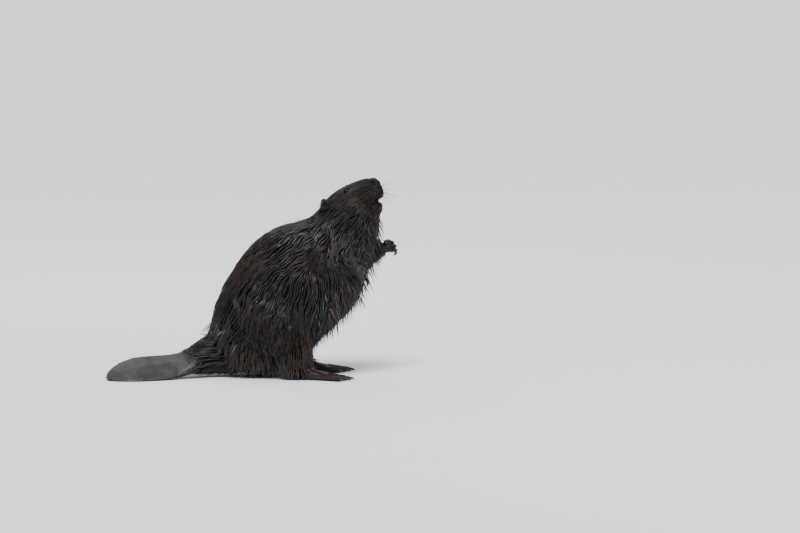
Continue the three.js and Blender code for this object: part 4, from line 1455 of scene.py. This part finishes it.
class BEAVER_OT_coat(bpy.types.Operator):
    """Grows the wet locks over the skin"""

    bl_idname = "beaver.coat"
    bl_label = "Coat"

    def execute(self, context):
        scene = context.scene
        skin = SHARED["lie"]
        material = coat_material(scene.beaver_colours)
        unwrap = unwrapping(SHARED["mesh"])
        centres = skin.points[skin.faces].mean(1)
        kind = skin.kind
        hairless = (in_nose_pad(centres) < 1.02) | (in_mouth(centres) < 1.05) | (in_ears(centres) < 1)
        for side in SIDES:
            hairless |= away_from(centres, eye_axes(side)[0]) < 8.0 * MM
            hairless |= away_from(centres, nostril(side)) < 7.0 * MM
        skin.bare = hairless | among(kind, *BARE, "ear")
        right = centres[:, 1] < 0
        trunk = among(kind, "chest", "belly", "rump")
        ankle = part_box("shank_right")[1].x + 8 * MM
        foot = among(kind, "hind_foot") & (centres[:, 0] < ankle) & (skin.normal[:, 2] > 0.1)
        wrist = distance_to(centres, nodes_of("forearm"))
        hand = among(kind, "forepaw") & (wrist < 22 * MM)
        groups = {
            "coat_body_right": (trunk & right, 8),
            "coat_body_left": (trunk & ~right, 8),
            "coat_neck": (among(kind, "neck"), 8),
            "coat_head": (among(kind, "head", "lower_jaw", "ear") & ~hairless, 4),
            "coat_legs": (among(kind, "thigh", "shank"), 7),
            "coat_arms": (among(kind, "upper_arm", "forearm"), 7),
            "coat_tail_root": (among(kind, "tail_root"), 7),
            "coat_paws": (foot | hand, 4),
        }
        for name, (chosen, rings) in groups.items():
            coat_region(name, skin, unwrap, scene.beaver_coat, chosen, material, rings)
        # Painted shade: the underfur is a fifth as bright as the dark fur, so the gaps between the locks read
        # as shadow.
        shade = (*[c * 0.2 for c in scene.beaver_colours.dark], 1)
        underfur_shade, _, _ = principled("Underfur Painted Shade", Base_Color=shade, Roughness=0.85, Specular_IOR_Level=0.06)
        furred = trunk | among(kind, "neck", "thigh", "shank", "upper_arm", "tail_root")
        coat_region("coat_under", underfur(skin), unwrap, scene.beaver_coat, furred, underfur_shade, 4)
        for name, weight, *look in tufts(skin, centres, hairless, trunk):
            fringe(name, skin, unwrap, scene.beaver_coat, weight, material, *look)
        return {"FINISHED"}


class BEAVER_OT_whiskers(bpy.types.Operator):
    """Sets the whiskers in rows on the upper lip, and a few over each eye"""

    bl_idname = "beaver.whiskers"
    bl_label = "Whiskers"

    def execute(self, context):
        rng = np.random.default_rng(WHISKER_SEED)
        material, _, _ = principled("Whisker", Base_Color=(0.010, 0.008, 0.007, 1), Roughness=0.5)
        tree = SHARED["lie"].tree
        bm = bmesh.new()
        for side, y in SIDES.items():
            roots = [
                (Vector((HEAD_HIGH.x - (4 + 8 * c) * MM, 40 * MM * y, (520 - 8 * r - 2 * c) * MM)), r, c)
                for r in range(WHISKER_ROWS)
                for c in range(WHISKERS_IN_ROW)
            ]
            for start, r, c in roots:
                at, normal, _, _ = tree.find_nearest(start)
                way = (normal * 0.5 + Vector((0.9 - 0.28 * c, 0.35 * y, 0.30 - 0.17 * r))).normalized()
                way = (way + Vector(rng.normal(0, 0.08, 3))).normalized()
                whisker(bm, at, way, (62 - 5 * c) * MM * rng.uniform(0.75, 1.1), 0.55 * MM, rng)
            brow = eye_axes(side)[0] + Vector((6 * MM, 0, 12 * MM))
            for k in range(2):
                at, normal, _, _ = tree.find_nearest(brow + Vector((-7 * MM * k, 3 * MM * y, 0)))
                way = (normal + Vector((0.2 - 0.5 * k, 0.2 * y, 0.6))).normalized()
                whisker(bm, at, way, 26 * MM, 0.45 * MM, rng)
        from_bmesh("whiskers", bm, material)
        return {"FINISHED"}


class BEAVER_OT_scales(bpy.types.Operator):
    """Lays the horny scales over both faces of the tail"""

    bl_idname = "beaver.scales"
    bl_label = "Tail scales"

    def execute(self, context):
        settings = context.scene.beaver_tail
        colours = context.scene.beaver_colours
        material = grained_material(
            "Tail Scales", colours.scale, 0.45, 260.0, 0.15 * MM, 0.45, Specular_IOR_Level=0.45
        )
        rng = np.random.default_rng(SCALE_SEED)
        skin = SHARED["lie"]
        blade = KINDS.index("tail_blade")
        points = skin.points[np.unique(skin.faces[skin.kind == blade])]
        centre, along, across, up = TAIL_AXES
        u, v = (points - centre) @ along, (points - centre) @ across
        pitch = settings.pitch
        columns = np.arange(u.min(), u.max(), pitch * 0.86)
        places = []
        for side in (1, -1):
            for c, a in enumerate(columns):
                lanes = np.arange(v.min(), v.max(), pitch)
                for b in lanes + (pitch / 2 if c % 2 else 0) + rng.normal(0, 0.05 * pitch, len(lanes)):
                    start = Vector(centre + along * a + across * b + up * side * 90 * MM)
                    at, normal, face, _ = skin.tree.ray_cast(start, Vector(up * -side))
                    if at is None or skin.kind[face] != blade or abs(normal.dot(Vector(up))) < 0.2:
                        continue
                    sideways = normal.cross(Vector(along)).normalized()
                    turn = Matrix((sideways.cross(normal), sideways, normal)).transposed().to_4x4()
                    size = pitch * rng.uniform(0.52, 0.58)
                    turn = turn @ Matrix.Rotation(rng.normal(0, 0.07), 4, "Z") @ Matrix.Scale(size, 4)
                    places.append(np.array(Matrix.Translation(at) @ turn))
        mesh = joined_copies("tail_scales", *scale_shape(settings), np.array(places))
        above_floor(mesh)
        mesh.shade_smooth()
        plates = to_object("tail_scales", mesh, material)
        return {"FINISHED"}


class BEAVER_OT_eyes(bpy.types.Operator):
    """Makes the two glossy eyes"""

    bl_idname = "beaver.eyes"
    bl_label = "Eyes"

    def execute(self, context):
        material, _, _ = principled(
            "Eye", Base_Color=(0.006, 0.0045, 0.004, 1), Roughness=0.2, Coat_Weight=0.45, Coat_Roughness=0.12
        )
        for side in SIDES:
            centre, along, up, out = eye_axes(side)
            radius = eye_radius(side)
            bm = bmesh.new()
            turn = Matrix((along, up, out)).transposed().to_4x4()
            place = Matrix.Translation(centre) @ turn
            bmesh.ops.create_uvsphere(bm, u_segments=40, v_segments=24, radius=radius, matrix=place)
            for v in bm.verts:
                ahead = (v.co - centre).dot(out) / radius
                v.co += out * max(0, ahead - 0.8) * radius * 0.5
            bmesh.ops.recalc_face_normals(bm, faces=bm.faces)
            eye = from_bmesh(f"eyeball_{side}", bm, material)
            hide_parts(f"eye_{side}")
        return {"FINISHED"}


class BEAVER_OT_claws(bpy.types.Operator):
    """Rounds the claws of all four feet"""

    bl_idname = "beaver.claws"
    bl_label = "Claws"

    def execute(self, context):
        material = grained_material("Claw Horn", (0.020, 0.015, 0.012), 0.34, 300.0, 0.2 * MM)
        for name in CLAW_NODES:
            bm = merged(name)
            centre = sum((v.co for v in bm.verts), Vector()) / len(bm.verts)
            bmesh.ops.scale(bm, verts=bm.verts, vec=(NAIL_SIZE,) * 3, space=Matrix.Translation(-centre))
            obj = working_object(mesh_of(bm))
            obj.modifiers.new("round", "SUBSURF").levels = 2
            mesh = applied(obj)
            above_floor(mesh)
            mesh.shade_smooth()
            claw = to_object(name.replace("claw", "nail"), mesh, material)
            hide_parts(name)
        return {"FINISHED"}


class BEAVER_OT_teeth(bpy.types.Operator):
    """Makes the orange incisors"""

    bl_idname = "beaver.teeth"
    bl_label = "Teeth"

    def execute(self, context):
        material = grained_material("Enamel", (0.22, 0.068, 0.014), 0.28, 160.0, 0.1 * MM)
        for name in TOOTH_NODES:
            low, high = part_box(name)
            size = high - low
            bite = -1 if name.endswith("upper") else 1  # the way the cutting edge faces
            bm = bmesh.new()
            for side in SIDES.values():
                cube = bmesh.ops.create_cube(bm, size=1)["verts"]
                width = size.y / 2 - TOOTH_GAP
                bmesh.ops.scale(bm, verts=cube, vec=(TOOTH_DEPTH, width, size.z + TOOTH_ROOT))
                centre = middle(name) + Vector((0, side * size.y / 4, -TOOTH_ROOT / 2 * bite))
                bmesh.ops.translate(bm, verts=cube, vec=centre)
            edge = bite * max(bite * v.co.z for v in bm.verts)
            for v in bm.verts:
                if abs(v.co.z - edge) < 1e-6 and v.co.x < (low.x + high.x) / 2:
                    v.co.z -= TOOTH_WEAR[1] * bite
                    v.co.x += TOOTH_WEAR[0]
            bmesh.ops.bevel(
                bm, geom=bm.edges[:], offset=1.3 * MM, segments=4, profile=0.5, affect="EDGES", material=-1
            )
            tooth = from_bmesh(name.replace("incisors", "front_teeth"), bm, material)
            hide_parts(name)
        return {"FINISHED"}


class BEAVER_OT_stage(bpy.types.Operator):
    """Lays the floor and sets the lights and the camera"""

    bl_idname = "beaver.stage"
    bl_label = "Stage"

    def execute(self, context):
        scene = context.scene
        settings = scene.beaver_stage
        bm = bmesh.new()
        bmesh.ops.create_grid(bm, x_segments=1, y_segments=1, size=90)
        floor = bpy.data.objects.new("floor", mesh_of(bm, "floor"))
        scene.collection.objects.link(floor)
        material, tree, shader = principled("Pale Floor", Roughness=0.85)
        clouds = node(tree, "ShaderNodeTexNoise", (-3, 0), Scale=3.0).outputs["Fac"]
        pale = blended(tree, (-2, 0), (0.78, 0.79, 0.81, 1), (0.83, 0.84, 0.86, 1), clouds)
        tree.links.new(pale, shader.inputs["Base Color"])
        floor.data.materials.append(material)
        world = bpy.data.worlds.new("Soft Sky")
        world.use_nodes = True
        sky = world.node_tree.nodes["Background"]
        sky.inputs["Color"].default_value = (0.93, 0.96, 1.0, 1)
        sky.inputs["Strength"].default_value = 0.62
        scene.world = world
        low, high = (Vector(c) for c in CAD_BOX)
        middle_of_body = (low + high) / 2
        lamps = [
            ("key", (-0.25, -1.65, 2.5), "SUN", math.radians(26), 4.4),
            ("fill", (2.6, -1.8, 1.6), "AREA", 1.6, 30),
            ("rim", (-0.8, 2.6, 2.6), "AREA", 2.0, 30),
        ]
        for name, offset, kind, size, power in lamps:
            lamp = bpy.data.lights.new(name, kind)
            setattr(lamp, "angle" if kind == "SUN" else "size", size)
            lamp.energy = power
            obj = bpy.data.objects.new(name, lamp)
            scene.collection.objects.link(obj)
            obj.location = middle_of_body + Vector(offset)
            obj.rotation_euler = Vector(offset).to_track_quat("Z", "Y").to_euler()
        # The animal stands left of the middle of the view, and a little low.
        target = Vector((high.x + 0.005, 0, high.z * 0.551))
        back = Vector((0, -math.cos(settings.height), math.sin(settings.height)))
        lens = bpy.data.cameras.new("camera")
        lens.sensor_width = 36
        lens.lens = 36 * settings.distance / settings.view_width
        lens.clip_end = 300
        camera = bpy.data.objects.new("camera", lens)
        scene.collection.objects.link(camera)
        camera.location = target + back * settings.distance
        camera.rotation_euler = back.to_track_quat("Z", "Y").to_euler()
        scene.camera = camera
        return {"FINISHED"}


class BEAVER_PT_panel(bpy.types.Panel):
    """Lists the makers of the beaver's pieces"""

    bl_idname = "BEAVER_PT_panel"
    bl_label = "Beaver"
    bl_space_type = "VIEW_3D"
    bl_region_type = "UI"
    bl_category = "Beaver"

    def draw(self, context):
        for operator in OPERATORS:
            self.layout.operator(operator.bl_idname)
        for name in SETTINGS:
            group = getattr(context.scene, name)
            for key in group.bl_rna.properties.keys():
                if key not in ("rna_type", "name"):
                    self.layout.prop(group, key)


OPERATORS = [
    BEAVER_OT_stage, BEAVER_OT_skin, BEAVER_OT_coat, BEAVER_OT_whiskers, BEAVER_OT_scales,
    BEAVER_OT_eyes, BEAVER_OT_claws, BEAVER_OT_teeth,
]
SETTINGS = {
    "beaver_skin": BeaverSkinSettings,
    "beaver_colours": BeaverColours,
    "beaver_coat": BeaverCoatSettings,
    "beaver_tail": BeaverTailSettings,
    "beaver_stage": BeaverStageSettings,
}


def register():
    for cls in [*SETTINGS.values(), *OPERATORS, BEAVER_PT_panel]:
        bpy.utils.register_class(cls)
    for name, cls in SETTINGS.items():
        setattr(bpy.types.Scene, name, PointerProperty(type=cls))


def unregister():
    for name in SETTINGS:
        delattr(bpy.types.Scene, name)
    for cls in [BEAVER_PT_panel, *reversed(OPERATORS), *reversed(list(SETTINGS.values()))]:
        bpy.utils.unregister_class(cls)


def main():
    register()
    bpy.ops.beaver.stage()
    bpy.ops.beaver.skin()
    bpy.ops.beaver.coat()
    bpy.ops.beaver.whiskers()
    bpy.ops.beaver.scales()
    bpy.ops.beaver.eyes()
    bpy.ops.beaver.claws()
    bpy.ops.beaver.teeth()


if __name__ == "__main__":
    main()
